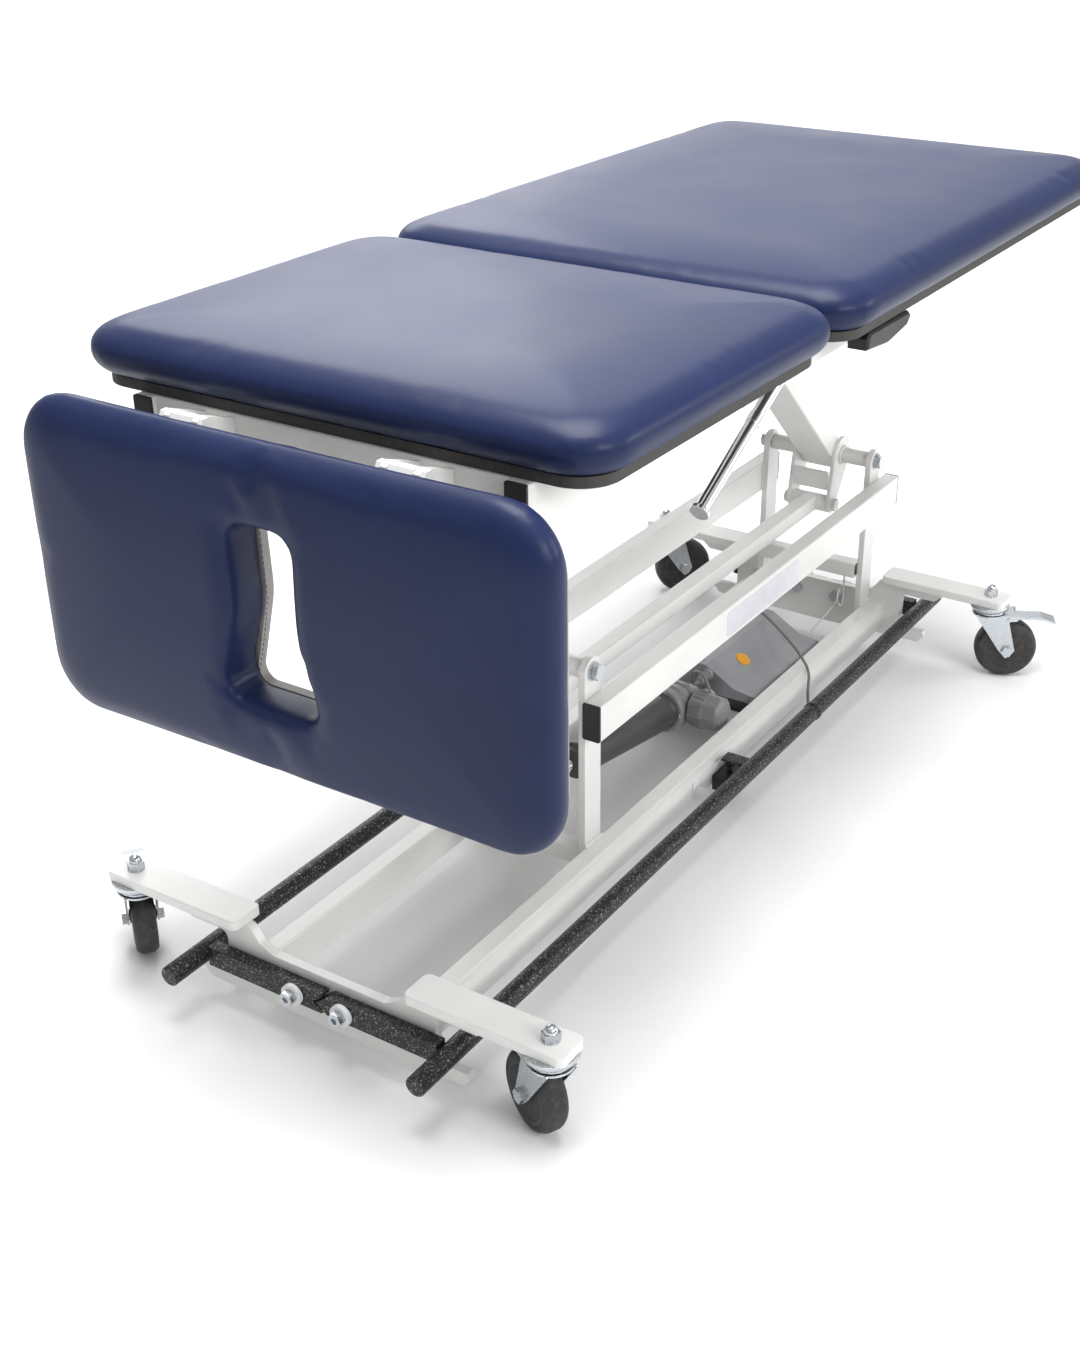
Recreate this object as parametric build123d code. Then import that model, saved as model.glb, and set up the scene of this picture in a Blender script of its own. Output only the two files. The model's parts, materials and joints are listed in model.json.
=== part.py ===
from build123d import *
import math
import os

os.makedirs("parts", exist_ok=True)

# ---------------------------------------------------------------- driving sizes (mm)
# Axes: +X to the foot end, +Y to the left hand looking that way, +Z up.
# Pieces are drawn from the floor point midway between the four caster stems, and
# saved from the floor point under the middle of the couch's overall length.

# Floor gear
STEM_X = 654.0            # caster stem from the middle, lengthwise
STEM_Y = 303.0            # caster stem from the middle, sideways
WHEEL_D = 100.0
WHEEL_W = 30.0
CASTER_TRAIL = 32.0       # axle offset from the stem
AXLE_D = 10.0
STEM_D = 12.0
RACE_D = 58.0             # swivel race under each wing bar
FORK_T = 2.5
HEADINGS = {"front_left": 50.0, "front_right": 64.0, "rear_left": -45.0, "rear_right": -63.0}
LOCKING = ("front_left", "rear_right")

# Base frame
WING_GAP = 40.0           # wing bars' top above the wheels
WING_T = 12.0
WING_W = 48.0
WING_L = 210.0
TUBE_W = 25.4
TUBE_H = 50.8
TUBE_WALL = 2.0
RAIL_Y = 121.0            # outer face of the lower tubes and the upper rails
LOW_TUBE_Z = 36.0         # underside of the lower tubes
PLATE_T = 12.0            # end cross plates
PLATE_FOOT = 25.0         # height of the cross plates' bottom edge
SADDLE_Z = 99.0           # height of the plates' low middle
FRONT_PIVOT_X = -237.0
PIVOT_SPAN = 865.0        # front crank pivot to rear crank pivot
PIVOT_Z = 338.0
POST_W = 38.0
POST_T = 9.5
RAIL_DROP = 34.0          # upper rails' top below the crank pivots
RAIL_FRONT = 22.0         # rails run past the front pivots
RAIL_REAR = 40.0          # rails run past the rear pivots
CROSS_TUBE = 25.4

# Lift cranks
ARM_L = 488.0
ARM_DEG = 42.7            # arm above the horizontal as built
ARM_W = 62.8
ARM_T = 36.0
TORQUE_D = 25.4
PIVOT_PIN_D = 12.0
TOP_PIN_D = 16.0
LEVER_T = 6.0
LINK_R = 83.0             # crank pivot to link pin
LINK_DEG = 250.0          # link pin's direction from the pivot
LINK_TUBE = 25.4
WEB_T = 5.0               # plate that closes the rear levers' front
WEB_LEAN = -14.0
ACT_R = 195.0             # front crank pivot to actuator pin
ACT_DEG = 254.2

# Actuator
ACT_TAIL_X = 212.0
ACT_TAIL_Z = 75.0
ACT_TUBE_D = 56.0
ACT_ROD_D = 24.0
ACT_TUBE_START = 102.0    # distances from the tail pin
ACT_TUBE_END = 360.0
ACT_ROD_START = 228.0
ACT_PIN_D = 12.0

# Foot control bars
BAR_Y = 180.0
BAR_Z = 77.0
BAR_D = 25.4
BAR_END = 735.0
BAR_TRAVEL = 15.0         # up and down at the side bar
HALF_BAR_T = 16.0
HALF_BAR_H = 26.0
HALF_PIVOT_Y = 36.0
HALF_PIN_D = 10.0
TAB_T = 4.0               # tab over the switch
TIE_X = 253.0             # cable tie round the right-hand bar

# Top frame, sections and pads
TOP_W = 686.0
PAD_T = 58.0
PAD_EDGE = 27.0
PAD_CORNER = 66.0
BOARD_T = 12.0
BOARD_INSET = 22.0
MID_FRONT = -618.0
MID_L = 533.0
SECTION_GAP = 10.0
LEG_L = 943.0
HEAD_L = 375.0
HEAD_GAP = 12.0
SIDE_TUBE_Y = 240.0       # middle of the side tubes
CARRIER_H = 38.1
CARRIER_GAP = 7.0         # arm side to carrier
HEAD_HINGE_X = -646.0
HEAD_HINGE_DROP = 9.0     # head hinge below the pads' underside
LEG_HINGE_BACK = 100.0    # leg hinge behind the leg pad's front face
LEVER_BACK = 103.0        # leg release lever's pivot behind that face
SIDE_SHORT = 12.0         # middle side tubes end this far short of its pad
SLOT_W = 84.0             # face slot, by the hinge
SLOT_WAIST = 76.0
SLOT_WIDE = 130.0         # its far end
SLOT_NEAR = 67.0          # slot's near end from the head hinge
SLOT_L = 205.0
SLOT_BOARD = 3.0          # board's cut-out is larger all round

# Hinge and handle details
LUG_Y = 140.0             # middle of each head hinge
LUG_ARM_W = 30.0
LUG_T = 8.0
HINGE_PLATE_T = 8.0       # leg hinge plates
HINGE_PLATE_GAP = 4.5     # from each plate to its side tube
HANDLE_L = 221.0          # head release handle
HANDLE_DEG = 29.0         # its droop
HANDLE_BACK = 15.0        # its pivot from the middle pad's back

# Control box and switch
BOX_GAP = 28.0            # behind the actuator's tail pin
BOX_L = 228.0
BOX_LID_Z = 66.0          # where lid and case part
PLUG_L = 28.0             # plug and cable guard on the box's front
PLUG_Y = -8.0
PLUG_Z = 98.0
MOTOR_CABLE_D = 4.5
SWITCH_CABLE_D = 4.5
SENSOR_CABLE_D = 2.6
CABLE_X = 190.0           # switch lead's outlet on the lid, from the box's front
SWITCH_X = 40.0           # switch's front end
SWITCH_L = 56.0
SWITCH_Z = 30.0           # its underside
SWITCH_H = 26.0
SWITCH_OUT = 19.0         # plunger's middle from the tube's face
PLUNGER_D = 8.0
BUMPER_D = 20.0           # round stop in front of the switch

# Named clearances
RUN = 0.05                # radial, pin in its bearing
FREE = 0.5                # side to side between moving pieces
SNUG = 0.1                # radial, fixed piece in a hole

# ---------------------------------------------------------------- derived places
REAR_PIVOT_X = FRONT_PIVOT_X + PIVOT_SPAN
WING_TOP = WHEEL_D + WING_GAP
RAIL_IN = RAIL_Y - TUBE_W
POST_IN = RAIL_IN - POST_T
RAIL_TOP = PIVOT_Z - RAIL_DROP
LOW_TUBE_TOP = LOW_TUBE_Z + TUBE_H
PLATE_X = STEM_X - PLATE_T / 2
ARM_DX = -ARM_L * math.cos(math.radians(ARM_DEG))
ARM_DZ = ARM_L * math.sin(math.radians(ARM_DEG))
TOP_PIN_Z = PIVOT_Z + ARM_DZ
LEVER_IN = ARM_W / 2 + 0.2
LEVER_OUT = LEVER_IN + LEVER_T
LINK_DX = LINK_R * math.cos(math.radians(LINK_DEG))
LINK_DZ = LINK_R * math.sin(math.radians(LINK_DEG))
ACT_X = FRONT_PIVOT_X + ACT_R * math.cos(math.radians(ACT_DEG))
ACT_Z = PIVOT_Z + ACT_R * math.sin(math.radians(ACT_DEG))
ACT_L = math.hypot(ACT_X - ACT_TAIL_X, ACT_Z - ACT_TAIL_Z)
ACT_TILT = math.degrees(math.atan2(ACT_Z - ACT_TAIL_Z, ACT_TAIL_X - ACT_X))
CARRIER_IN = ARM_W / 2 + CARRIER_GAP
CARRIER_OUT = CARRIER_IN + TUBE_W
SIDE_Z = TOP_PIN_Z + CARRIER_H / 2
BOARD_Z = SIDE_Z + TUBE_H
PAD_Z = BOARD_Z + BOARD_T
TOP_Z = PAD_Z + PAD_T
SIDE_IN = SIDE_TUBE_Y - TUBE_W / 2
SIDE_OUT = SIDE_TUBE_Y + TUBE_W / 2
MID_BACK = MID_FRONT + MID_L
LEG_FRONT = MID_BACK + SECTION_GAP
LEG_BACK = LEG_FRONT + LEG_L
HEAD_BACK = MID_FRONT - HEAD_GAP
HEAD_FRONT = HEAD_BACK - HEAD_L
HEAD_HINGE_Z = PAD_Z - HEAD_HINGE_DROP
LEG_HINGE_X = LEG_FRONT + LEG_HINGE_BACK
LEG_HINGE_Z = BOARD_Z - 10.5
LEVER_X = LEG_FRONT + LEVER_BACK
LEVER_Z = BOARD_Z - 13.0
SIDE_FRONT = MID_FRONT + 13.0
CROSS_FRONT = MID_FRONT + 18.0
FORK_TOP = WING_TOP - WING_T - 15.0
MIDDLE_X = (LEG_BACK - BAR_END) / 2
BOX_X = ACT_TAIL_X + BOX_GAP
SWITCH_Y = -RAIL_Y - SWITCH_OUT
HANDLE_X = MID_BACK - HANDLE_BACK
HANDLE_Z = SIDE_Z + 24.0


# ---------------------------------------------------------------- helpers
def block(x0, x1, y0, y1, z0, z1):
    size = Box(x1 - x0, y1 - y0, z1 - z0)
    return Pos((x0 + x1) / 2, (y0 + y1) / 2, (z0 + z1) / 2) * size


def rod_x(radius, x0, x1, y, z):
    return Pos((x0 + x1) / 2, y, z) * Rot(0, 90, 0) * Cylinder(radius, x1 - x0)


def rod_y(radius, y0, y1, x, z):
    return Pos(x, (y0 + y1) / 2, z) * Rot(90, 0, 0) * Cylinder(radius, y1 - y0)


def rod_z(radius, z0, z1, x, y):
    return Pos(x, y, (z0 + z1) / 2) * Cylinder(radius, z1 - z0)


def nut_y(flats, y0, y1, x, z):
    profile = Plane.XZ * RegularPolygon(flats / 2, 6, major_radius=False)
    return Pos(x, y1, z) * extrude(profile, y1 - y0)


def nut_x(flats, x0, x1, y, z):
    profile = Plane.YZ * RegularPolygon(flats / 2, 6, major_radius=False)
    return Pos(x0, y, z) * extrude(profile, x1 - x0)


def tube_x(x0, x1, y0, y1, z0, z1, wall=TUBE_WALL):
    outer = block(x0, x1, y0, y1, z0, z1)
    outer = fillet(outer.edges().filter_by(Axis.X), 2.5)
    return outer - block(x0 - 1, x1 + 1, y0 + wall, y1 - wall, z0 + wall, z1 - wall)


def tube_y(x0, x1, y0, y1, z0, z1, wall=TUBE_WALL):
    outer = block(x0, x1, y0, y1, z0, z1)
    outer = fillet(outer.edges().filter_by(Axis.Y), 2.5)
    return outer - block(x0 + wall, x1 - wall, y0 - 1, y1 + 1, z0 + wall, z1 - wall)


def plate_xz(points, y0, y1, round_r=0.0):
    """A flat plate drawn in the X-Z plane and as thick as y0..y1."""
    outline = make_face(Polyline(*points, close=True))
    if round_r:
        outline = fillet(outline.vertices(), round_r)
    solid = extrude(Plane.XZ * outline, y1 - y0, dir=(0, -1, 0))
    return Pos(0, y1, 0) * solid


def strap_xz(ends, y0, y1):
    """Hull of two circles (x, z, radius), as a plate from y0 to y1."""
    (xa, za, ra), (xb, zb, rb) = ends
    gap = math.hypot(xb - xa, zb - za)
    lean = math.atan2(zb - za, xb - xa)
    side = math.acos((ra - rb) / gap)
    corners = []
    for x, z, r, turn in ((xa, za, ra, side), (xb, zb, rb, side), (xb, zb, rb, -side), (xa, za, ra, -side)):
        corners.append((x + r * math.cos(lean + turn), z + r * math.sin(lean + turn)))
    body = plate_xz(corners, y0, y1)
    return body + rod_y(ra, y0, y1, xa, za) + rod_y(rb, y0, y1, xb, zb)


def mirror_y(solid):
    return mirror(solid, Plane.XZ)


def mirror_x(solid):
    return mirror(solid, Plane.YZ)


def both_sides(solid):
    return [solid, mirror_y(solid)]


def solids_of(shape):
    found = []
    for item in shape if isinstance(shape, (list, tuple)) else [shape]:
        found.extend(item.solids())
    return found


def save(name, shape):
    pieces = [Pos(-MIDDLE_X, 0, 0) * piece for piece in solids_of(shape)]
    whole = pieces[0] if len(pieces) == 1 else Compound(children=pieces)
    export_step(whole, f"parts/{name}.step")
    volume = sum(piece.volume for piece in pieces)
    print(f"{name}: {len(pieces)} solids, {volume / 1000:.1f} cm3")


def turn_about_y(solid, x, z, degrees):
    return Pos(x, 0, z) * Rot(0, degrees, 0) * Pos(-x, 0, -z) * solid


def hang(solid):
    """Swing a piece drawn level down to the head section's hanging place."""
    return turn_about_y(solid, HEAD_HINGE_X, HEAD_HINGE_Z, -90)


def cord(points, radii, diameter, end_points=None):
    line = FilletPolyline(*points, radius=radii)
    start = line.position_at(0)
    section = Plane(origin=start, z_dir=line.tangent_at(0)) * Circle(diameter / 2)
    body = sweep(section, path=line)
    ideal = math.pi * diameter ** 2 / 4 * line.length
    least = min(radii) / diameter
    print(f"  cord: length {line.length:.0f}, least bend {least:.1f} dia, volume ratio {body.volume / ideal:.4f}")
    return body


def cord_radii(points):
    """0.45 of the shorter run over the tangent of the half turn, at each bend."""
    radii = []
    for before, here, after in zip(points, points[1:], points[2:]):
        a = Vector(*here) - Vector(*before)
        b = Vector(*after) - Vector(*here)
        half = math.radians(a.get_angle(b)) / 2
        radii.append(0.45 * min(a.length, b.length) / math.tan(half))
    return radii


# ---------------------------------------------------------------- base frame
def cross_plate():
    """Front end plate: saddle top, open notches for the foot bars."""
    notch_top = BAR_Z + BAR_D / 2 + BAR_TRAVEL + 3
    notch_low = BAR_Z - BAR_D / 2 - BAR_TRAVEL - 2
    under_wing = WING_TOP - WING_T
    wing_in = STEM_Y + 29 - WING_L
    bar_in = BAR_Y - BAR_D / 2 - 14
    half = [
        (0, PLATE_FOOT), (BAR_Y + 8, PLATE_FOOT + 3), (BAR_Y + 18, PLATE_FOOT + 14),
        (BAR_Y + 15, notch_low), (bar_in, notch_low), (bar_in, notch_top),
        (BAR_Y + 30, notch_top), (BAR_Y + 54, under_wing), (wing_in - 6, under_wing),
        (wing_in - 20, SADDLE_Z + 9), (wing_in - 40, SADDLE_Z), (0, SADDLE_Z),
    ]
    loop = half + [(-y, z) for y, z in reversed(half[1:-1])]
    outline = make_face(Plane.YZ * Polyline(*loop, close=True))
    plate = Pos(-PLATE_X - PLATE_T, 0, 0) * extrude(outline, PLATE_T, dir=(1, 0, 0))
    inner = plate.edges().filter_by(Axis.X).filter_by(lambda e: abs(abs(e.center().Y) - bar_in) < 1)
    plate = fillet(inner, 11)
    saddle = plate.edges().filter_by(Axis.X).filter_by(
        lambda e: wing_in - 45 < abs(e.center().Y) < wing_in - 5 and e.center().Z > SADDLE_Z - 2)
    plate = fillet(saddle, 14)
    for side in (-1, 1):
        plate = plate - rod_x(HALF_PIN_D / 2 + SNUG, -STEM_X - 20, -STEM_X + 20, side * HALF_PIVOT_Y, BAR_Z)
    return plate


def wing_bar():
    """Flat bar over the front left caster, with the stem's hole."""
    inner = STEM_Y + 29 - WING_L
    bar = block(-STEM_X - WING_W / 2, -STEM_X + WING_W / 2, inner, inner + WING_L,
                WING_TOP - WING_T, WING_TOP)
    bar = fillet(bar.edges().filter_by(Axis.Z), 9)
    bar = bar - rod_z(STEM_D / 2 + SNUG, 0, WING_TOP + 1, -STEM_X, STEM_Y)
    return fillet(bar.edges().group_by(Axis.Z)[-1], 1.5)


def wings():
    front = both_sides(wing_bar())
    return front + [mirror_x(bar) for bar in front]


def lower_tubes():
    end = PLATE_X - 0.02
    tube = tube_x(-end, end, -RAIL_Y, -RAIL_IN, LOW_TUBE_Z, LOW_TUBE_TOP)
    return both_sides(tube)


def upper_rails():
    rail = tube_x(FRONT_PIVOT_X - RAIL_FRONT, REAR_PIVOT_X + RAIL_REAR, -RAIL_Y, -RAIL_IN,
                  RAIL_TOP - TUBE_H, RAIL_TOP)
    return both_sides(rail)


def rail_caps():
    caps = []
    low = RAIL_TOP - TUBE_H
    for x, out in ((FRONT_PIVOT_X - RAIL_FRONT, -1), (REAR_PIVOT_X + RAIL_REAR, 1)):
        xa, xb = sorted((x, x + out * 3))
        xc, xd = sorted((x, x - out * 14))
        cap = fillet(block(xa, xb, -RAIL_Y, -RAIL_IN, low, RAIL_TOP).edges().filter_by(Axis.X), 2.5)
        inset = TUBE_WALL + 0.2
        plug = block(xc, xd, -RAIL_Y + inset, -RAIL_IN - inset, low + inset, RAIL_TOP - inset)
        caps.extend(both_sides(cap + plug))
    return caps


def posts():
    found = []
    for x in (FRONT_PIVOT_X, REAR_PIVOT_X):
        bar = block(x - POST_W / 2, x + POST_W / 2, -RAIL_IN, -POST_IN, LOW_TUBE_Z + 4, PIVOT_Z)
        bar = bar + rod_y(POST_W / 2, -RAIL_IN, -POST_IN, x, PIVOT_Z)
        bar = bar - rod_y(PIVOT_PIN_D / 2 + SNUG, -RAIL_IN - 1, -POST_IN + 1, x, PIVOT_Z)
        found.extend(both_sides(bar))
    return found


def post_cross_tubes():
    rear = tube_y(REAR_PIVOT_X - 32, REAR_PIVOT_X - 32 + CROSS_TUBE, -POST_IN, POST_IN, 140, 140 + CROSS_TUBE)
    front = tube_y(FRONT_PIVOT_X - 13, FRONT_PIVOT_X - 13 + CROSS_TUBE, -POST_IN, POST_IN,
                   LOW_TUBE_Z + 14, LOW_TUBE_Z + 14 + CROSS_TUBE)
    return [front, rear]


def crank_bolts():
    """Hex bolts through the posts; their plain shanks carry the torque tubes."""
    found = []
    for x in (FRONT_PIVOT_X, REAR_PIVOT_X):
        bolt = rod_y(PIVOT_PIN_D / 2, -RAIL_IN - 1, -POST_IN + 42, x, PIVOT_Z)
        bolt = bolt + nut_y(19, -RAIL_IN - 11, -RAIL_IN - 3, x, PIVOT_Z)
        bolt = bolt + rod_y(13, -RAIL_IN - 3, -RAIL_IN - 0.02, x, PIVOT_Z)
        found.extend(both_sides(bolt))
    return found


def stem_places():
    return {
        "front_left": (-STEM_X, STEM_Y), "front_right": (-STEM_X, -STEM_Y),
        "rear_left": (STEM_X, STEM_Y), "rear_right": (STEM_X, -STEM_Y),
    }


def stem_nuts():
    found = []
    for x, y in stem_places().values():
        washer = rod_z(10.5, WING_TOP + 0.02, WING_TOP + 2.2, x, y)
        hexagon = Pos(x, y, WING_TOP + 2.2) * extrude(RegularPolygon(9.5, 6, major_radius=False), 9)
        dome = Pos(x, y, WING_TOP + 11.2) * Sphere(8.2)
        dome = dome - block(x - 20, x + 20, y - 20, y + 20, WING_TOP - 10, WING_TOP + 11.2)
        nut = washer + hexagon + dome
        found.append(nut - rod_z(STEM_D / 2 + SNUG, WING_TOP - 1, WING_TOP + 9, x, y))
    return found


def swivel_heads():
    """Fixed upper races of the casters, each with its threaded stem."""
    found = []
    under = WING_TOP - WING_T
    for x, y in stem_places().values():
        race = rod_z(RACE_D / 2, under - 5, under - 0.02, x, y)
        skirt = rod_z(RACE_D / 2 - 4, under - 14, under - 5, x, y)
        stem = rod_z(STEM_D / 2, under - 14, WING_TOP + 8, x, y)
        kingpin = rod_z(7, FORK_TOP - 5, under - 14, x, y)
        found.append(race + skirt + stem + kingpin)
    return found


# ---------------------------------------------------------------- casters
def place_caster(solid, key):
    x, y = stem_places()[key]
    return Pos(x, y, 0) * Rot(0, 0, HEADINGS[key]) * solid


def fork_leg():
    """One cheek of the fork, drawn with the trail along +X, on the +Y side."""
    inner = WHEEL_W / 2 + 2.5
    axle_z = WHEEL_D / 2
    shape = [
        (-RACE_D / 2 + 5, FORK_TOP), (RACE_D / 2 + 16, FORK_TOP), (RACE_D / 2 + 16, FORK_TOP - 9),
        (RACE_D / 2 + 2, FORK_TOP - 11), (CASTER_TRAIL + 13, axle_z), (CASTER_TRAIL, axle_z - 14),
        (CASTER_TRAIL - 13, axle_z),
    ]
    leg = plate_xz(shape, inner, inner + FORK_T, 2.0)
    return leg - rod_y(AXLE_D / 2 + SNUG, inner - 1, inner + FORK_T + 1, CASTER_TRAIL, axle_z)


def caster_fork(locking):
    inner = WHEEL_W / 2 + 2.5
    outer = inner + FORK_T
    crown = rod_z(RACE_D / 2 - 2, FORK_TOP - 3, FORK_TOP - 0.3, 0, 0)
    bridge = block(-RACE_D / 2 + 8, RACE_D / 2 + 12, -inner - 0.5, inner + 0.5, FORK_TOP - 3, FORK_TOP - 0.3)
    fork = crown + bridge + fork_leg() + mirror_y(fork_leg())
    fork = fork - block(-60, 80, -60, 60, FORK_TOP - 0.3, FORK_TOP + 5)
    fork = fork - rod_z(7 + RUN, FORK_TOP - 10, FORK_TOP + 1, 0, 0)
    axle = rod_y(AXLE_D / 2, -outer - 6, outer + 6, CASTER_TRAIL, WHEEL_D / 2)
    for side in (-1, 1):
        ya, yb = sorted((side * (outer + 0.02), side * (outer + 6)))
        axle = axle + nut_y(16, ya, yb, CASTER_TRAIL, WHEEL_D / 2)
    pieces = [fork, axle]
    if locking:
        pivot_x, pivot_z = brake_pivot()
        pin = rod_y(2.5, -outer - 2, outer + 2, pivot_x, pivot_z)
        pieces[0] = fork - rod_y(2.5 + SNUG, -outer - 1, outer + 1, pivot_x, pivot_z)
        pieces.append(pin)
    return pieces


def caster_wheel():
    radius = WHEEL_D / 2
    axle_z = WHEEL_D / 2
    tyre = rod_y(radius, -WHEEL_W / 2, WHEEL_W / 2, CASTER_TRAIL, axle_z)
    tyre = fillet(tyre.edges(), 6)
    core_r = radius - 13
    tyre = tyre - rod_y(core_r, -WHEEL_W, WHEEL_W, CASTER_TRAIL, axle_z)
    core = rod_y(core_r - 0.02, -WHEEL_W / 2 + 2, WHEEL_W / 2 - 2, CASTER_TRAIL, axle_z)
    for side in (-1, 1):
        ya, yb = sorted((side * (WHEEL_W / 2 - 5), side * WHEEL_W))
        dish = rod_y(core_r - 5, ya, yb, CASTER_TRAIL, axle_z) - rod_y(12, ya, yb, CASTER_TRAIL, axle_z)
        core = core - dish
    core = core + rod_y(9, -WHEEL_W / 2 - 2, WHEEL_W / 2 + 2, CASTER_TRAIL, axle_z)
    core = core - rod_y(AXLE_D / 2 + RUN, -WHEEL_W, WHEEL_W, CASTER_TRAIL, axle_z)
    return [tyre, core]


def brake_pivot():
    return CASTER_TRAIL - 2, FORK_TOP - 7.2


def brake_pedal():
    """Brake treadle on its pin above the wheel, toe sticking out past the tyre."""
    pivot_x, pivot_z = brake_pivot()
    half = WHEEL_W / 2 - 1
    side = [
        (pivot_x - 6, pivot_z - 1.5), (pivot_x + 54, pivot_z - 1.5), (pivot_x + 76, pivot_z - 8),
        (pivot_x + 76, pivot_z - 4.5), (pivot_x + 54, pivot_z + 2.2), (pivot_x - 6, pivot_z + 2.2),
    ]
    pedal = plate_xz(side, -half, half)
    pedal = pedal + rod_y(3.4, -half, half, pivot_x, pivot_z)
    return pedal - rod_y(2.5 + RUN, -half - 1, half + 1, pivot_x, pivot_z)


# ---------------------------------------------------------------- lift cranks and link
def crank_arm(pivot_x):
    """Box arm from the torque tube up to the bushed top eye."""
    tail = TORQUE_D / 2 + 8
    arm = block(-tail, ARM_L, -ARM_W / 2, ARM_W / 2, -ARM_T / 2, ARM_T / 2)
    arm = fillet(arm.edges().filter_by(Axis.X), 3)
    arm = arm + rod_y(ARM_T / 2, -ARM_W / 2, ARM_W / 2, ARM_L, 0)
    inner = block(tail + 12, ARM_L - 40, -ARM_W / 2 + 3, ARM_W / 2 - 3, -ARM_T / 2 + 3, ARM_T / 2 - 3)
    arm = arm - inner
    bush_half = CARRIER_IN - FREE
    arm = arm + rod_y(TOP_PIN_D / 2 + 7, -bush_half, bush_half, ARM_L, 0)
    arm = arm - rod_y(TOP_PIN_D / 2 + RUN, -bush_half - 1, bush_half + 1, ARM_L, 0)
    arm = arm - rod_y(TORQUE_D / 2 + SNUG, -ARM_W, ARM_W, 0, 0)
    arm = Rot(0, ARM_DEG - 180, 0) * arm
    return Pos(pivot_x, 0, PIVOT_Z) * arm


def torque_tube(pivot_x):
    half = POST_IN - FREE
    tube = rod_y(TORQUE_D / 2, -half, half, pivot_x, PIVOT_Z)
    return tube - rod_y(PIVOT_PIN_D / 2 + RUN, -half - 1, half + 1, pivot_x, PIVOT_Z)


def lever_holes(pivot_x, y0, y1):
    hub = rod_y(TORQUE_D / 2 + SNUG, y0 - 1, y1 + 1, pivot_x, PIVOT_Z)
    pin = rod_y(PIVOT_PIN_D / 2 + SNUG, y0 - 1, y1 + 1, pivot_x + LINK_DX, PIVOT_Z + LINK_DZ)
    return hub + pin


def link_pin(x, z):
    half = LEVER_OUT
    pin = rod_y(PIVOT_PIN_D / 2, -half - 8, half + 8, x, z)
    for side in (-1, 1):
        ya, yb = sorted((side * (half + 0.02), side * (half + 8)))
        pin = pin + nut_y(18, ya, yb, x, z)
    return pin


def rear_levers():
    """Two tapered side plates and the front web under the rear arm."""
    x = REAR_PIVOT_X
    link_x, link_z = x + LINK_DX, PIVOT_Z + LINK_DZ
    plate = strap_xz(((x, PIVOT_Z, 30), (link_x, link_z, 14)), -LEVER_OUT, -LEVER_IN)
    plate = plate - lever_holes(x, -LEVER_OUT, -LEVER_IN)
    web = block(-WEB_T / 2, WEB_T / 2, -LEVER_IN + 0.02, LEVER_IN - 0.02, -17, 17)
    web = Pos(x - 36, 0, PIVOT_Z - 36) * Rot(0, WEB_LEAN, 0) * web
    return both_sides(plate) + [web, link_pin(link_x, link_z)]


def front_levers():
    """Two deep cheeks: near hole for the link, covering the actuator's eye below."""
    x = FRONT_PIVOT_X
    link_x, link_z = x + LINK_DX, PIVOT_Z + LINK_DZ
    deep = math.radians(ACT_DEG)
    low_r = ACT_R + 4
    low = (x + low_r * math.cos(deep), PIVOT_Z + low_r * math.sin(deep), 40)
    cheek = strap_xz(((x, PIVOT_Z, 30), low), -LEVER_OUT, -LEVER_IN)
    cheek = cheek - lever_holes(x, -LEVER_OUT, -LEVER_IN)
    return both_sides(cheek) + [link_pin(link_x, link_z)]


def link_tube():
    z = PIVOT_Z + LINK_DZ
    xa = FRONT_PIVOT_X + LINK_DX
    xb = REAR_PIVOT_X + LINK_DX
    half = LINK_TUBE / 2
    bar = tube_x(xa, xb, -half, half, z - half, z + half)
    boss_half = LEVER_IN - FREE
    for x in (xa, xb):
        bar = bar + rod_y(14, -boss_half, boss_half, x, z)
        bar = bar - rod_y(PIVOT_PIN_D / 2 + RUN, -boss_half - 1, boss_half + 1, x, z)
    return bar


# ---------------------------------------------------------------- actuator
def along_actuator(solid):
    """Place a piece drawn along +X from the tail pin."""
    return Pos(ACT_TAIL_X, 0, ACT_TAIL_Z) * Rot(0, 180 + ACT_TILT, 0) * solid


def actuator_mount():
    """Cross bar between the lower tubes with two ears for the tail pin."""
    x, z = ACT_TAIL_X, ACT_TAIL_Z
    bar = block(x - 17, x + 23, -RAIL_IN, RAIL_IN, LOW_TUBE_Z + 4, LOW_TUBE_Z + 14)
    ears = []
    for side in (-1, 1):
        ya, yb = sorted((side * 20, side * 26))
        ear = strap_xz(((x, z, 12), (x + 4, LOW_TUBE_Z + 24, 18)), ya, yb)
        ear = ear - block(x - 40, x + 40, ya - 1, yb + 1, 0, LOW_TUBE_Z + 14)
        ears.append(ear - rod_y(ACT_PIN_D / 2 + SNUG, ya - 1, yb + 1, x, z))
    return bar + ears[0] + ears[1]


def actuator_tail_pin():
    pin = rod_y(ACT_PIN_D / 2, -31, 31, ACT_TAIL_X, ACT_TAIL_Z)
    return pin + rod_y(10, -31, -26.02, ACT_TAIL_X, ACT_TAIL_Z) + rod_y(10, 26.02, 31, ACT_TAIL_X, ACT_TAIL_Z)


def actuator_housing():
    """Cast gear case with the tail eye."""
    case = block(34, ACT_TUBE_START - 0.02, -34, 34, -34, 34)
    case = fillet(case.edges().filter_by(Axis.X), 16)
    case = fillet(case.edges().group_by(Axis.X)[0], 8)
    eye = rod_y(13, -19.5, 19.5, 0, 0)
    neck = block(0, 40, -14, 14, -12, 12)
    flange = rod_x(33, ACT_TUBE_START - 12, ACT_TUBE_START - 0.02, 0, 0)
    housing = case + neck + eye + flange
    return along_actuator(housing - rod_y(ACT_PIN_D / 2 + RUN, -21, 21, 0, 0))


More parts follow.
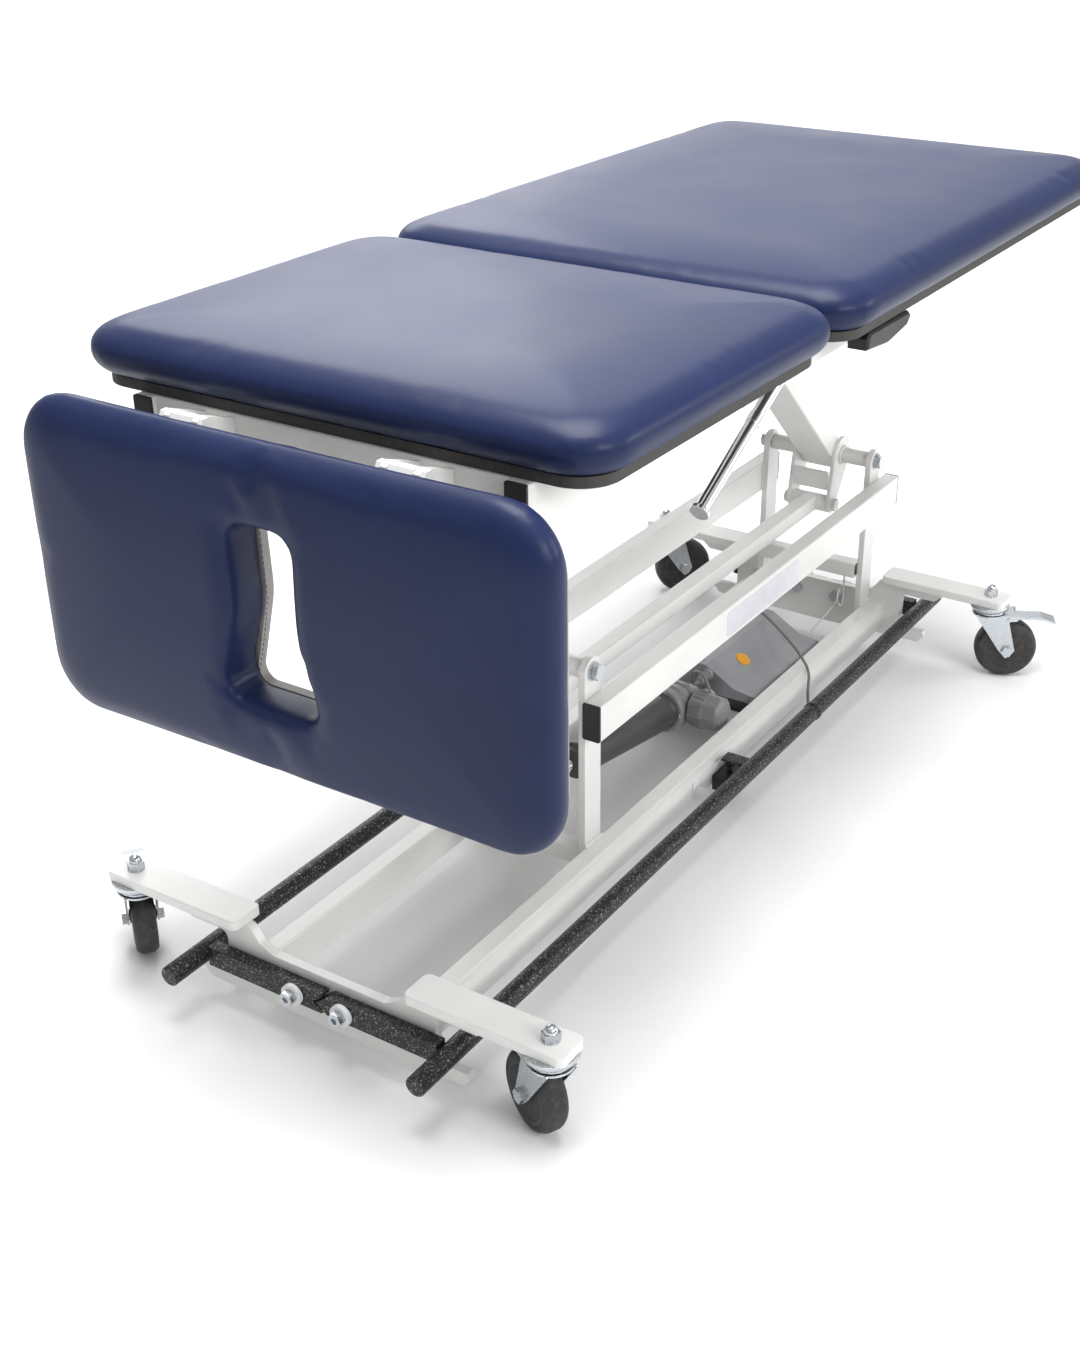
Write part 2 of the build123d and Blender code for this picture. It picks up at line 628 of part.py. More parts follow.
def actuator_motor():
    """Motor can slung on the right-hand side of the gear case."""
    can = rod_y(30, -84, -34.02, 62, -4)
    return along_actuator(fillet(can.edges().group_by(Axis.Y)[0], 6))


def actuator_tube():
    tube = rod_x(ACT_TUBE_D / 2, ACT_TUBE_START, ACT_TUBE_END - 12, 0, 0)
    nose = rod_x(ACT_TUBE_D / 2 - 7, ACT_TUBE_END - 12, ACT_TUBE_END, 0, 0)
    tube = tube + nose
    return along_actuator(tube - rod_x(ACT_ROD_D / 2 + RUN, ACT_TUBE_START + 6, ACT_TUBE_END + 1, 0, 0))


def actuator_rod():
    """Chromed rod, its eye and a pin that stops short of the crank's cheeks."""
    rod = rod_x(ACT_ROD_D / 2, ACT_ROD_START, ACT_L, 0, 0)
    eye = rod_y(16, -14, 14, ACT_L, 0)
    eye = rod + eye - rod_y(ACT_PIN_D / 2 + SNUG, -15, 15, ACT_L, 0)
    pin = rod_y(ACT_PIN_D / 2, -LEVER_IN + 2, LEVER_IN - 2, ACT_L, 0)
    return [along_actuator(eye), along_actuator(pin)]


# ---------------------------------------------------------------- control box and wiring
def box_profile():
    return [(-90, LOW_TUBE_Z + 3.2), (-90, 78), (-52, 84), (-4, 112), (58, 112), (58, LOW_TUBE_Z + 3.2)]


def box_whole():
    outline = make_face(Plane.YZ * Polyline(*box_profile(), close=True))
    body = Pos(BOX_X, 0, 0) * extrude(outline, BOX_L, dir=(1, 0, 0))
    return fillet(body.edges().filter_by(Axis.X), 4)


def control_tray():
    return block(BOX_X - 4, BOX_X + BOX_L + 4, -RAIL_IN, RAIL_IN, LOW_TUBE_Z, LOW_TUBE_Z + 3)


def control_case():
    return box_whole() & block(0, 900, -150, 150, 0, BOX_LID_Z)


def control_lid():
    return box_whole() & block(0, 900, -150, 150, BOX_LID_Z + 0.3, 200)


def motor_plug():
    """Plug in the lid's front face, with its ribbed cable guard."""
    body = rod_x(10, BOX_X - PLUG_L / 2, BOX_X - 0.3, PLUG_Y, PLUG_Z)
    guard = rod_x(4.5, BOX_X - PLUG_L, BOX_X - PLUG_L / 2, PLUG_Y, PLUG_Z)
    for rib in range(3):
        at = BOX_X - PLUG_L + 2 + 4.5 * rib
        guard = guard + rod_x(6, at, at + 2.2, PLUG_Y, PLUG_Z)
    return body + guard


def motor_cable():
    """Short lead from the plug over the gear case to the motor, clear of both."""
    x = BOX_X - PLUG_L - 0.3
    points = [
        (x, PLUG_Y, PLUG_Z), (x - 20, PLUG_Y, PLUG_Z + 2), (x - 36, PLUG_Y - 8, PLUG_Z + 36),
        (x - 52, PLUG_Y - 34, PLUG_Z + 46), (x - 62, PLUG_Y - 52, PLUG_Z + 24),
    ]
    return cord(points, cord_radii(points), MOTOR_CABLE_D)


def switch_cable():
    """Lead from the box over the right-hand lower tube, then beside the foot bar."""
    x = BOX_X + CABLE_X
    out = -RAIL_Y - 8
    by_bar = -BAR_Y + BAR_D / 2 + SWITCH_CABLE_D / 2 + 1
    end = SWITCH_X + SWITCH_L + 1.4
    points = [
        (x, 40, 112.4), (x - 2, 38, 134), (x - 16, 6, 142), (x - 32, -36, 130), (x - 52, -74, 118),
        (x - 72, -104, 110), (x - 82, out, 88), (x - 88, out - 1, 56), (x - 110, out - 14, 40),
        (x - 140, by_bar - 2, 46), (x - 178, by_bar, 55), (x - 222, by_bar + 1, 50), (x - 268, by_bar + 6, 44),
        (x - 302, SWITCH_Y - 4, 41), (end, SWITCH_Y, SWITCH_Z + 11),
    ]
    return cord(points, cord_radii(points), SWITCH_CABLE_D)


def sensor_cable():
    """Thin lead from the rear cross tube down to the box, with one loose turn."""
    x, y = REAR_PIVOT_X - 22, -66.0
    points = [
        (x, y, 139.4), (x - 4, y - 2, 122), (x - 13, y - 6, 104), (x - 30, y - 12, 96), (x - 46, y - 10, 106),
        (x - 44, y - 8, 122), (x - 30, y - 6, 127), (x - 22, y - 3, 112), (x - 34, y, 98), (x - 58, y, 92),
        (x - 94, y + 2, 86), (BOX_X + BOX_L + 0.4, y + 2, 74),
    ]
    return cord(points, cord_radii(points), SENSOR_CABLE_D)


# ---------------------------------------------------------------- foot control bars
def half_cross_bar(side, sign_x):
    """Cross bar welded to one side bar; its inner end is a fork or a wedge."""
    front = -STEM_X - PLATE_T / 2 - FREE - HALF_BAR_T - 3
    xa, xb = front, front + HALF_BAR_T
    low, high = BAR_Z - HALF_BAR_H / 2, BAR_Z + HALF_BAR_H / 2
    outer = BAR_Y - BAR_D / 2 + 1.5
    if side > 0:
        shape = [(outer, low), (outer, high), (-4, high), (-4, high - 4), (9, BAR_Z), (-4, low + 4), (-4, low)]
    else:
        shape = [(outer, low), (outer, high), (13, high), (-3, BAR_Z + 0.6), (-3, BAR_Z - 0.6), (13, low)]
    outline = make_face(Plane.YZ * Polyline(*shape, close=True))
    bar = Pos(xa, 0, 0) * extrude(outline, HALF_BAR_T, dir=(1, 0, 0))
    bar = bar - rod_x(HALF_PIN_D / 2 + 4 + RUN, xa - 1, xb + 1, HALF_PIVOT_Y, BAR_Z)
    bar = bar - rod_x(BAR_D / 2 + 0.02, xa - 1, xb + 1, BAR_Y, BAR_Z)
    if side < 0:
        bar = mirror_y(bar)
    return mirror_x(bar) if sign_x > 0 else bar


def foot_bar(side):
    rail = rod_x(BAR_D / 2, -BAR_END, BAR_END, side * BAR_Y, BAR_Z)
    rail = fillet(rail.edges().filter_by(GeomType.CIRCLE), 2)
    rail = rail - rod_x(BAR_D / 2 - TUBE_WALL, -BAR_END + 10, BAR_END - 10, side * BAR_Y, BAR_Z)
    pieces = [rail, half_cross_bar(side, -1), half_cross_bar(side, 1)]
    if side < 0:
        x = plunger_x()
        tab = block(x - 11, x + 11, -BAR_Y + BAR_D / 2 - 2, SWITCH_Y + 9, BAR_Z - TAB_T / 2, BAR_Z + TAB_T / 2)
        pieces.append(tab - rod_x(BAR_D / 2 + 0.02, x - 20, x + 20, -BAR_Y, BAR_Z))
        band = rod_x(BAR_D / 2 + 1.4, TIE_X - 3.5, TIE_X + 3.5, -BAR_Y, BAR_Z)
        pieces.append(band - rod_x(BAR_D / 2 + 0.02, TIE_X - 5, TIE_X + 5, -BAR_Y, BAR_Z))
    return pieces


def half_bar_front():
    return -STEM_X - PLATE_T / 2 - FREE - HALF_BAR_T - 3


def bar_bolts():
    found = []
    face = half_bar_front()
    for side in (-1, 1):
        y = side * HALF_PIVOT_Y
        shank = rod_x(HALF_PIN_D / 2, face - 12, -STEM_X + PLATE_T / 2 + 8, y, BAR_Z)
        head = nut_x(17, face - 16, face - 6.5, y, BAR_Z) - rod_x(4, face - 17, face - 12, y, BAR_Z)
        nut = nut_x(17, -STEM_X + PLATE_T / 2 + 0.02, -STEM_X + PLATE_T / 2 + 9, y, BAR_Z)
        bolt = shank + head + nut
        found.extend([bolt, mirror_x(bolt)])
    return found


def bar_bushes():
    """White flanged bushes between the bolts and the half bars."""
    found = []
    face = half_bar_front()
    plate_face = -STEM_X - PLATE_T / 2
    for side in (-1, 1):
        y = side * HALF_PIVOT_Y
        sleeve = rod_x(HALF_PIN_D / 2 + 4, face - 1, plate_face - 0.02, y, BAR_Z)
        flange = rod_x(14, face - 6.4, face - 0.6, y, BAR_Z)
        bush = sleeve + flange - rod_x(HALF_PIN_D / 2 + SNUG, face - 8, plate_face + 1, y, BAR_Z)
        found.extend([bush, mirror_x(bush)])
    return found


def plunger_x():
    return SWITCH_X + SWITCH_L / 2 - 4


def switch_bracket():
    """Plate on the tube's outer face, with the round bumper."""
    face = -RAIL_Y - 0.02
    plate = block(SWITCH_X - 52, SWITCH_X + SWITCH_L + 4, face - 3, face, SWITCH_Z + 10, SWITCH_Z + 38)
    bumper = rod_y(BUMPER_D / 2, face - 29, face - 3, SWITCH_X - 40, SWITCH_Z + 18)
    return plate + fillet(bumper.edges().group_by(Axis.Y)[0], 2)


def switch_body():
    back = -RAIL_Y - 3.04
    body = block(SWITCH_X, SWITCH_X + SWITCH_L, back - 30, back, SWITCH_Z, SWITCH_Z + SWITCH_H)
    body = fillet(body.edges(), 2.5)
    return body - rod_z(PLUNGER_D / 2 + RUN, SWITCH_Z + 2, SWITCH_Z + SWITCH_H + 1, plunger_x(), SWITCH_Y)


def switch_plunger():
    """Domed plunger with a ribbed boot, under the right-hand foot bar's tab."""
    top = BAR_Z - TAB_T / 2 - 0.4
    stem = rod_z(PLUNGER_D / 2, SWITCH_Z + 14, top - 4, plunger_x(), SWITCH_Y)
    dome = Pos(plunger_x(), SWITCH_Y, top - 8) * Sphere(8)
    dome = dome & rod_z(7, top - 5, top + 1, plunger_x(), SWITCH_Y)
    return stem + dome


# ---------------------------------------------------------------- top frame
def side_tubes(x0, x1):
    return both_sides(tube_x(x0, x1, -SIDE_OUT, -SIDE_IN, SIDE_Z, BOARD_Z - 0.02))


def tube_caps():
    x = SIDE_FRONT
    plate = block(x - 3, x, -SIDE_OUT, -SIDE_IN, SIDE_Z, BOARD_Z - 0.02)
    plate = fillet(plate.edges().filter_by(Axis.X), 2.5)
    inset = TUBE_WALL + 0.2
    plug = block(x, x + 14, -SIDE_OUT + inset, -SIDE_IN - inset, SIDE_Z + inset, BOARD_Z - inset)
    return both_sides(plate + plug)


def top_cross_tubes():
    half = SIDE_IN - 0.02
    low = SIDE_Z + 0.02
    front = tube_y(CROSS_FRONT, CROSS_FRONT + TUBE_W, -half, half, low, BOARD_Z - 0.05)
    middle = tube_y(MID_FRONT + 250, MID_FRONT + 250 + CROSS_TUBE, -half, half, low, low + CROSS_TUBE)
    half = SIDE_IN - HINGE_PLATE_GAP - HINGE_PLATE_T - 0.02
    x = MID_BACK - SIDE_SHORT - CROSS_TUBE - 2
    back = tube_y(x, x + CROSS_TUBE, -half, half, low, low + CROSS_TUBE)
    return [front, middle, back]


def carriers():
    x0 = FRONT_PIVOT_X + ARM_DX - 22
    x1 = REAR_PIVOT_X + ARM_DX + 60
    low, high = SIDE_Z - CARRIER_H, SIDE_Z
    rail = tube_x(x0, x1, -CARRIER_OUT, -CARRIER_IN, low, high)
    for pivot in (FRONT_PIVOT_X, REAR_PIVOT_X):
        rail = rail - rod_y(TOP_PIN_D / 2 + SNUG, -CARRIER_OUT - 1, -CARRIER_IN + 1, pivot + ARM_DX, TOP_PIN_Z)
    return both_sides(rail)


def top_pins():
    found = []
    for pivot in (FRONT_PIVOT_X, REAR_PIVOT_X):
        x = pivot + ARM_DX
        pin = rod_y(TOP_PIN_D / 2, -CARRIER_OUT - 9, CARRIER_OUT + 9, x, TOP_PIN_Z)
        for side in (-1, 1):
            ya, yb = sorted((side * (CARRIER_OUT + 0.02), side * (CARRIER_OUT + 9)))
            pin = pin + nut_y(22, ya, yb, x, TOP_PIN_Z)
        found.append(pin)
    return found


def head_lugs():
    """Fixed hinge lugs on the front cross tube, two at each side."""
    found = []
    hx, hz = HEAD_HINGE_X, HEAD_HINGE_Z
    for inner in (LUG_Y - LUG_ARM_W / 2 - FREE - LUG_T, LUG_Y + LUG_ARM_W / 2 + FREE):
        foot_x = CROSS_FRONT - 0.02
        shape = [(foot_x, SIDE_Z + 6), (foot_x, BOARD_Z - 4), (hx + 2, hz + 8), (hx - 7, hz + 4),
                 (hx - 8, hz - 4), (hx - 2, hz - 12)]
        lug = plate_xz(shape, inner, inner + LUG_T, 1.5)
        found.append(lug - rod_y(5 + SNUG, inner - 1, inner + LUG_T + 1, hx, hz))
    return found


def head_hinge_pins():
    outer = LUG_Y + LUG_ARM_W / 2 + FREE + LUG_T
    inner = LUG_Y - LUG_ARM_W / 2 - FREE - LUG_T
    hx, hz = HEAD_HINGE_X, HEAD_HINGE_Z
    pin = rod_y(5, inner - 6, outer + 6, hx, hz)
    pin = pin + nut_y(14, inner - 6, inner - 0.02, hx, hz) + nut_y(14, outer + 0.02, outer + 6, hx, hz)
    return both_sides(pin)


def leg_hinge_plates():
    """Cranked plates that carry the leg section's hinge from the middle's side tubes."""
    outer = SIDE_IN - HINGE_PLATE_GAP
    inner = outer - HINGE_PLATE_T
    hx, hz = LEG_HINGE_X, LEG_HINGE_Z
    start = MID_BACK - 62
    low = SIDE_Z - 26
    shape = [
        (start, BOARD_Z - 8), (start, SIDE_Z + 4), (MID_BACK - 20, low), (hx + 6, low), (hx + 10, hz - 6),
        (hx + 9, hz + 3), (hx + 5, hz + 8.5), (hx - 5, hz + 8.5), (hx - 9, hz + 3), (hx - 11, hz - 6),
        (hx - 16, low + 22), (MID_BACK - 2, low + 22),
        (MID_BACK - 14, BOARD_Z - 8),
    ]
    plate = plate_xz(shape, inner, outer)
    plate = plate - rod_y(5 + RUN, inner - 1, outer + 1, hx, hz)
    for x in (start + 12, MID_BACK - 26):
        plate = plate + rod_y(6, outer, SIDE_IN - 0.02, x, SIDE_Z + 24)
    return both_sides(plate)


def leg_rest_pads():
    x = REAR_PIVOT_X + ARM_DX + 40
    y = (CARRIER_IN + CARRIER_OUT) / 2
    return both_sides(rod_z(11, SIDE_Z + 0.02, SIDE_Z + 11.5, x, y))


def pad(x0, x1):
    """Upholstered pad: rounded corners in plan, almost fully round edges."""
    body = extrude(RectangleRounded(x1 - x0, TOP_W, PAD_CORNER), PAD_T)
    body = Pos((x0 + x1) / 2, 0, PAD_Z) * body
    rims = body.edges().group_by(Axis.Z)[0] + body.edges().group_by(Axis.Z)[-1]
    return fillet(rims, PAD_EDGE)


def board(x0, x1):
    body = extrude(RectangleRounded(x1 - x0, TOP_W - 2 * BOARD_INSET, PAD_CORNER - BOARD_INSET), BOARD_T - 0.4)
    return Pos((x0 + x1) / 2, 0, BOARD_Z + 0.2) * body


def mid_board():
    return board(MID_FRONT + BOARD_INSET, MID_BACK - BOARD_INSET)


def leg_board():
    return board(LEG_FRONT + BOARD_INSET, LEG_BACK - BOARD_INSET)


def face_slot(grow):
    """Cutter for the waisted face slot, wider at the end away from the hinge."""
    near = HEAD_HINGE_X - SLOT_NEAR + grow
    far = near - SLOT_L - 2 * grow
    waist = near - SLOT_L / 2
    half = [(near, SLOT_W / 2 + grow), (waist, SLOT_WAIST / 2 + grow), (far, SLOT_WIDE / 2 + grow)]
    outline = make_face(Polyline(*half, *[(x, -y) for x, y in reversed(half)], close=True))
    outline = fillet(outline.vertices().filter_by(lambda v: abs(v.X - near) < 1), SLOT_W * 0.28)
    outline = fillet(outline.vertices().filter_by(lambda v: abs(v.X - far) < 1), SLOT_W * 0.2)
    outline = fillet(outline.vertices().filter_by(lambda v: abs(v.X - waist) < 1), SLOT_L / 2)
    cutter = extrude(outline, BOARD_T + PAD_T + 10, dir=(0, 0, 1))
    return Pos(0, 0, BOARD_Z - 5) * cutter


def head_pad():
    body = pad(HEAD_FRONT, HEAD_BACK)
    return hang(body - face_slot(0))


def head_board():
    body = board(HEAD_FRONT + BOARD_INSET, HEAD_BACK - BOARD_INSET - 18)
    return hang(body - face_slot(SLOT_BOARD))


def head_arms():
    """Hinge arms bolted under the head board, and the bar that joins them."""
    hx, hz = HEAD_HINGE_X, HEAD_HINGE_Z
    root = HEAD_BACK - 40
    side = [
        (root - 130, BOARD_Z - 22), (root, BOARD_Z - 22), (hx + 3, hz - 9), (hx + 8, hz - 3), (hx + 7, hz + 4),
        (hx, hz + 8), (hx - 12, BOARD_Z - 0.02), (root - 130, BOARD_Z - 0.02),
    ]
    arm = plate_xz(side, LUG_Y - LUG_ARM_W / 2, LUG_Y + LUG_ARM_W / 2)
    arm = arm - rod_y(5 + RUN, LUG_Y - 30, LUG_Y + 30, hx, hz)
    tie_half = LUG_Y - LUG_ARM_W / 2
    tie = tube_y(root - 44, root - 44 + CROSS_TUBE, -tie_half, tie_half, BOARD_Z - 22, BOARD_Z - 0.05)
    return [hang(arm), hang(mirror_y(arm)), hang(tie)]


def leg_frame():
    half = SIDE_IN - 0.02
    tubes = side_tubes(LEG_FRONT + 3, LEG_BACK - 24)
    high = BOARD_Z - 0.05
    for x in (REAR_PIVOT_X + ARM_DX + 27, LEG_BACK - 180):
        tubes.append(tube_y(x, x + TUBE_W, -half, half, high - 38.1, high))
    for side in (-1, 1):
        inner = SIDE_IN - HINGE_PLATE_GAP - HINGE_PLATE_T - 3
        ya, yb = sorted((side * inner, side * (SIDE_IN - 0.02)))
        tubes.append(rod_y(5, ya, yb, LEG_HINGE_X, LEG_HINGE_Z))
    return tubes


def leg_caps():
    x = LEG_BACK - 24
    plate = block(x, x + 3, -SIDE_OUT, -SIDE_IN, SIDE_Z, BOARD_Z - 0.02)
    plate = fillet(plate.edges().filter_by(Axis.X), 2.5)
    inset = TUBE_WALL + 0.2
    plug = block(x - 14, x, -SIDE_OUT + inset, -SIDE_IN - inset, SIDE_Z + inset, BOARD_Z - inset)
    return both_sides(plate + plug)


# ---------------------------------------------------------------- hand levers
def leg_lever_boss():
    return rod_y(6, -SIDE_OUT - 62, -SIDE_OUT - 0.02, LEVER_X, LEVER_Z)


def leg_lever():
    """Black faceted grip that frees the leg section."""
    x, z = LEVER_X, LEVER_Z
    y0, y1 = -SIDE_OUT - 70, -SIDE_OUT - 43
    side = [(x - 14, z - 10), (x + 50, z - 16), (x + 104, z - 8), (x + 116, z + 4), (x + 108, z + 10),
            (x - 8, z + 11), (x - 15, z + 4)]
    grip = plate_xz(side, y0, y1)
    grip = chamfer(grip.edges().group_by(Axis.Y)[0], 3)
    return grip - rod_y(6 + RUN, y0 + 6, -SIDE_OUT, x, z)


def handle_boss():
    boss = rod_y(12, -SIDE_OUT - 4, -SIDE_OUT - 0.02, HANDLE_X, HANDLE_Z)
    stud = rod_y(4, -SIDE_OUT - 24, -SIDE_OUT - 4, HANDLE_X, HANDLE_Z)
    return boss + stud


def head_handle():
    """Chromed rod handle with a flat end cap, hung from the right-hand side tube."""
    y = -SIDE_OUT - 14
    rod = rod_x(8, 6, HANDLE_L - 3, y, 0)
    sleeve = rod_x(9.2, 70, 84, y, 0)
    cap = fillet(rod_x(12, HANDLE_L - 5, HANDLE_L, y, 0).edges(), 1)
    eye = rod_y(11, y - 8, y + 8, 0, 0)
    body = rod + sleeve + cap + eye
    body = body - rod_y(4 + RUN, y - 9, y + 11, 0, 0)
    body = Rot(0, 180 - HANDLE_DEG, 0) * body
    return Pos(HANDLE_X, 0, HANDLE_Z) * body


# ---------------------------------------------------------------- write every node
save("end_cross_plates", [cross_plate(), mirror_x(cross_plate())])
save("caster_wing_bars", wings())
save("lower_side_tubes", lower_tubes())
save("upper_side_rails", upper_rails())
save("rail_end_caps", rail_caps())
save("pivot_posts", posts() + post_cross_tubes())
save("crank_pivot_bolts", crank_bolts())
save("caster_stem_nuts", stem_nuts())
save("caster_swivel_heads", swivel_heads())
save("actuator_mount", [actuator_mount(), actuator_tail_pin()])
save("control_box_tray", control_tray())
save("control_box_case", control_case())
save("control_box_lid", control_lid())
save("motor_plug", motor_plug())
save("motor_cable", motor_cable())
save("switch_cable", switch_cable())
save("sensor_cable", sensor_cable())
save("foot_bar_bolts", bar_bolts())
save("foot_bar_bushes", bar_bushes())
save("switch_bracket", switch_bracket())
save("switch_body", switch_body())
save("switch_plunger", switch_plunger())
save("foot_bar_left", foot_bar(1))
save("foot_bar_right", foot_bar(-1))
save("actuator_gear_case", actuator_housing())
save("actuator_motor", actuator_motor())
save("actuator_outer_tube", actuator_tube())
save("actuator_rod", actuator_rod())
save("front_crank_arm", [crank_arm(FRONT_PIVOT_X), torque_tube(FRONT_PIVOT_X)])
save("front_crank_cheeks", front_levers())
save("rear_crank_arm", [crank_arm(REAR_PIVOT_X), torque_tube(REAR_PIVOT_X)])
save("rear_crank_levers", rear_levers())
save("link_tube", link_tube())
save("top_side_tubes", side_tubes(SIDE_FRONT, MID_BACK - SIDE_SHORT))
save("top_tube_caps", tube_caps())
save("top_cross_tubes", top_cross_tubes())
save("top_carrier_rails", carriers() + leg_rest_pads())
save("top_pivot_pins", top_pins())
save("head_hinge_lugs", [lug for plain in head_lugs() for lug in both_sides(plain)] + head_hinge_pins())
save("leg_hinge_plates", leg_hinge_plates() + [handle_boss()])
save("middle_board", mid_board())
save("middle_pad", pad(MID_FRONT, MID_BACK))
save("head_pad", head_pad())
save("head_board", head_board())
save("head_hinge_arms", head_arms())
save("leg_pad", pad(LEG_FRONT, LEG_BACK))
save("leg_board", leg_board())
save("leg_frame_tubes", leg_frame() + leg_caps() + [leg_lever_boss()])
save("leg_release_lever", leg_lever())
save("head_release_handle", head_handle())
for key in stem_places():
    save(f"caster_fork_{key}", [place_caster(piece, key) for piece in caster_fork(key in LOCKING)])
    save(f"caster_wheel_{key}", [place_caster(piece, key) for piece in caster_wheel()])
    if key in LOCKING:
        save(f"caster_brake_{key}", place_caster(brake_pedal(), key))
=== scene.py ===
import json
import math

import bmesh
import bpy
from mathutils import Matrix, Vector


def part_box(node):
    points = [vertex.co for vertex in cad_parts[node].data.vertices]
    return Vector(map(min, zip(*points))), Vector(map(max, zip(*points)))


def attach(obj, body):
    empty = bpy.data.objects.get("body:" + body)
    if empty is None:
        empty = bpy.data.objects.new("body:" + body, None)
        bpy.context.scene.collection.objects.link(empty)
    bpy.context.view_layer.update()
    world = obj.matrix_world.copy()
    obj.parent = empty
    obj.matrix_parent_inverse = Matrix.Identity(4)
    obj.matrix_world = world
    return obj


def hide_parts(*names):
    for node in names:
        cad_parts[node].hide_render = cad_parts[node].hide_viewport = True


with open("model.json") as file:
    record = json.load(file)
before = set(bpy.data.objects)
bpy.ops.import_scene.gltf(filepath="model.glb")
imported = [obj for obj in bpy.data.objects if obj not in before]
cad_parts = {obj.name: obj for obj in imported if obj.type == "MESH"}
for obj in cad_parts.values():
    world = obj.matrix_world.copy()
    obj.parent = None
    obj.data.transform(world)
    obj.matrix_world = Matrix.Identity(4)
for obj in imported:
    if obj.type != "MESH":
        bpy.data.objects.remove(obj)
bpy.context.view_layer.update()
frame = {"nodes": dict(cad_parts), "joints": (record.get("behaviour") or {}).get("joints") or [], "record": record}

bl_info = {
    "name": "Examination couch",
    "version": (1, 0, 0),
    "blender": (4, 5, 0),
    "location": "View3D > Sidebar > Couch",
    "description": "Builds the looks of a height-adjustable examination couch round its frame",
    "category": "Object",
}

NODES = frame["nodes"]
CORNERS = ("front_left", "front_right", "rear_left", "rear_right")

# sizes in metres; outlines of turned pieces are (along, radius) pairs
TREAD_HALF = 0.015           # half the width of a caster's tread
TREAD_DEPTH = 0.0128         # from the running face down to the hub
HUB_NOSE = 0.0168            # half the hub's width at its bearing
HUB_WEB = 0.0100             # half its width at the sunk web
HUB_RIM = 0.0142             # half its width at the rim
HUB_DEPTH = 0.0130           # from the running face down to the hub's edge
RING_FACE = 0.0150           # the dark ring stands this far from the wheel's middle
BOWL_BORE = 0.0135           # hole through the swivel bowl
EYE_HALF = 0.0195            # half the width of the actuator's tail eye
CASE_END = 0.1015            # end of the gear case, from the tail pin
CASE_SCREW_RADIUS = 0.0292
SLEEVE_BORE = 0.0125
SLEEVE_END = 0.360           # end of the outer tube, from the tail pin
CAN_LENGTH = 0.0499          # length of the motor can
RIB_RADIUS = 0.0282          # cooling ribs lie on this radius
RIB_START = 0.031            # from the can's cap to the first point of a rib
RIB_STEP = 0.0020
LID_SCREWS_ALONG = (0.016, 0.212)
LID_SCREWS_ACROSS = (0.040, 0.008)
LABEL_START, LABEL_END = 0.334, 0.560    # blank label, from the rail's head end
LABEL_CORNER = 0.004
PLUG_RIBS = 7
POST_WELD_X = 0.0195         # beads beside a pivot post
HUB_WELD_Y = 0.0388          # beads round a crank's hub, from the middle
HUB_WELD_RADIUS = 0.0132
TUBE_WIDE = 0.0254           # width of a lower side tube
PAD_CORNER = 0.066           # corner radius of a pad's outline
CROWN_REACH = 0.16           # the crown falls off over this much of a pad's border
CLOTH_FRAMES = 12
SWELL_SHARE = 0.6            # share of the cloth's movement that is kept
FLOOR_HALF = 14.0
FLOOR_BACK = 7.0
SWEEP = 2.0                  # radius of the floor's sweep into the wall
SENSOR_MM = 36.0


# ------------------------------------------------------------------ settings
class CouchColours(bpy.types.PropertyGroup):
    vinyl: bpy.props.FloatVectorProperty(
        name="Vinyl", description="Colour of the upholstery", subtype="COLOR", size=4,
        default=(0.0095, 0.0175, 0.064, 1.0), min=0, max=1)
    frame_coat: bpy.props.FloatVectorProperty(
        name="Frame coat", description="Powder coat of the frame", subtype="COLOR", size=4,
        default=(0.74, 0.735, 0.72, 1.0), min=0, max=1)
    bar_coat: bpy.props.FloatVectorProperty(
        name="Bar coat", description="Hammered coat of the foot bars", subtype="COLOR", size=4,
        default=(0.006, 0.006, 0.0065, 1.0), min=0, max=1)
    tread: bpy.props.FloatVectorProperty(
        name="Tread", description="Tread of the wheels", subtype="COLOR", size=4,
        default=(0.020, 0.019, 0.019, 1.0), min=0, max=1)
    case_grey: bpy.props.FloatVectorProperty(
        name="Case grey", description="Control box and actuator plastic", subtype="COLOR", size=4,
        default=(0.30, 0.305, 0.32, 1.0), min=0, max=1)
    dot: bpy.props.FloatVectorProperty(
        name="Dot", description="Round sticker on the control box", subtype="COLOR", size=4,
        default=(0.80, 0.36, 0.02, 1.0), min=0, max=1)


class CouchSizes(bpy.types.PropertyGroup):
    voxel: bpy.props.FloatProperty(
        name="Pad mesh size", description="Mesh size of the pads before they are inflated",
        default=0.0075, min=0.004, max=0.02, subtype="DISTANCE", unit="LENGTH")
    swell: bpy.props.FloatProperty(
        name="Swell limit", description="How far the foam may push the vinyl out",
        default=0.005, min=0, max=0.02, subtype="DISTANCE", unit="LENGTH")
    crown: bpy.props.FloatProperty(
        name="Crown", description="How much lower a pad is along its edges than in its middle",
        default=0.012, min=0, max=0.02, subtype="DISTANCE", unit="LENGTH")
    pressure: bpy.props.FloatProperty(
        name="Pressure", description="Pressure of the foam against the vinyl", default=4.0, min=0, max=20)
    stitch_gap: bpy.props.FloatProperty(
        name="Stitch spacing", description="From one stitch to the next",
        default=0.0065, min=0.003, max=0.02, subtype="DISTANCE", unit="LENGTH")
    weld_step: bpy.props.FloatProperty(
        name="Weld ripple", description="Distance between the ripples of a weld bead",
        default=0.0026, min=0.001, max=0.01, subtype="DISTANCE", unit="LENGTH")
    rib_count: bpy.props.IntProperty(
        name="Cooling ribs", description="Ribs round the motor", default=22, min=6, max=60)


# ------------------------------------------------------------------ materials
def new_material(name):
    """An empty node material and its shader."""
    made = bpy.data.materials.new(name)
    made.use_nodes = True
    tree = made.node_tree
    shader = next(n for n in tree.nodes if n.type == "BSDF_PRINCIPLED")
    return made, tree, shader


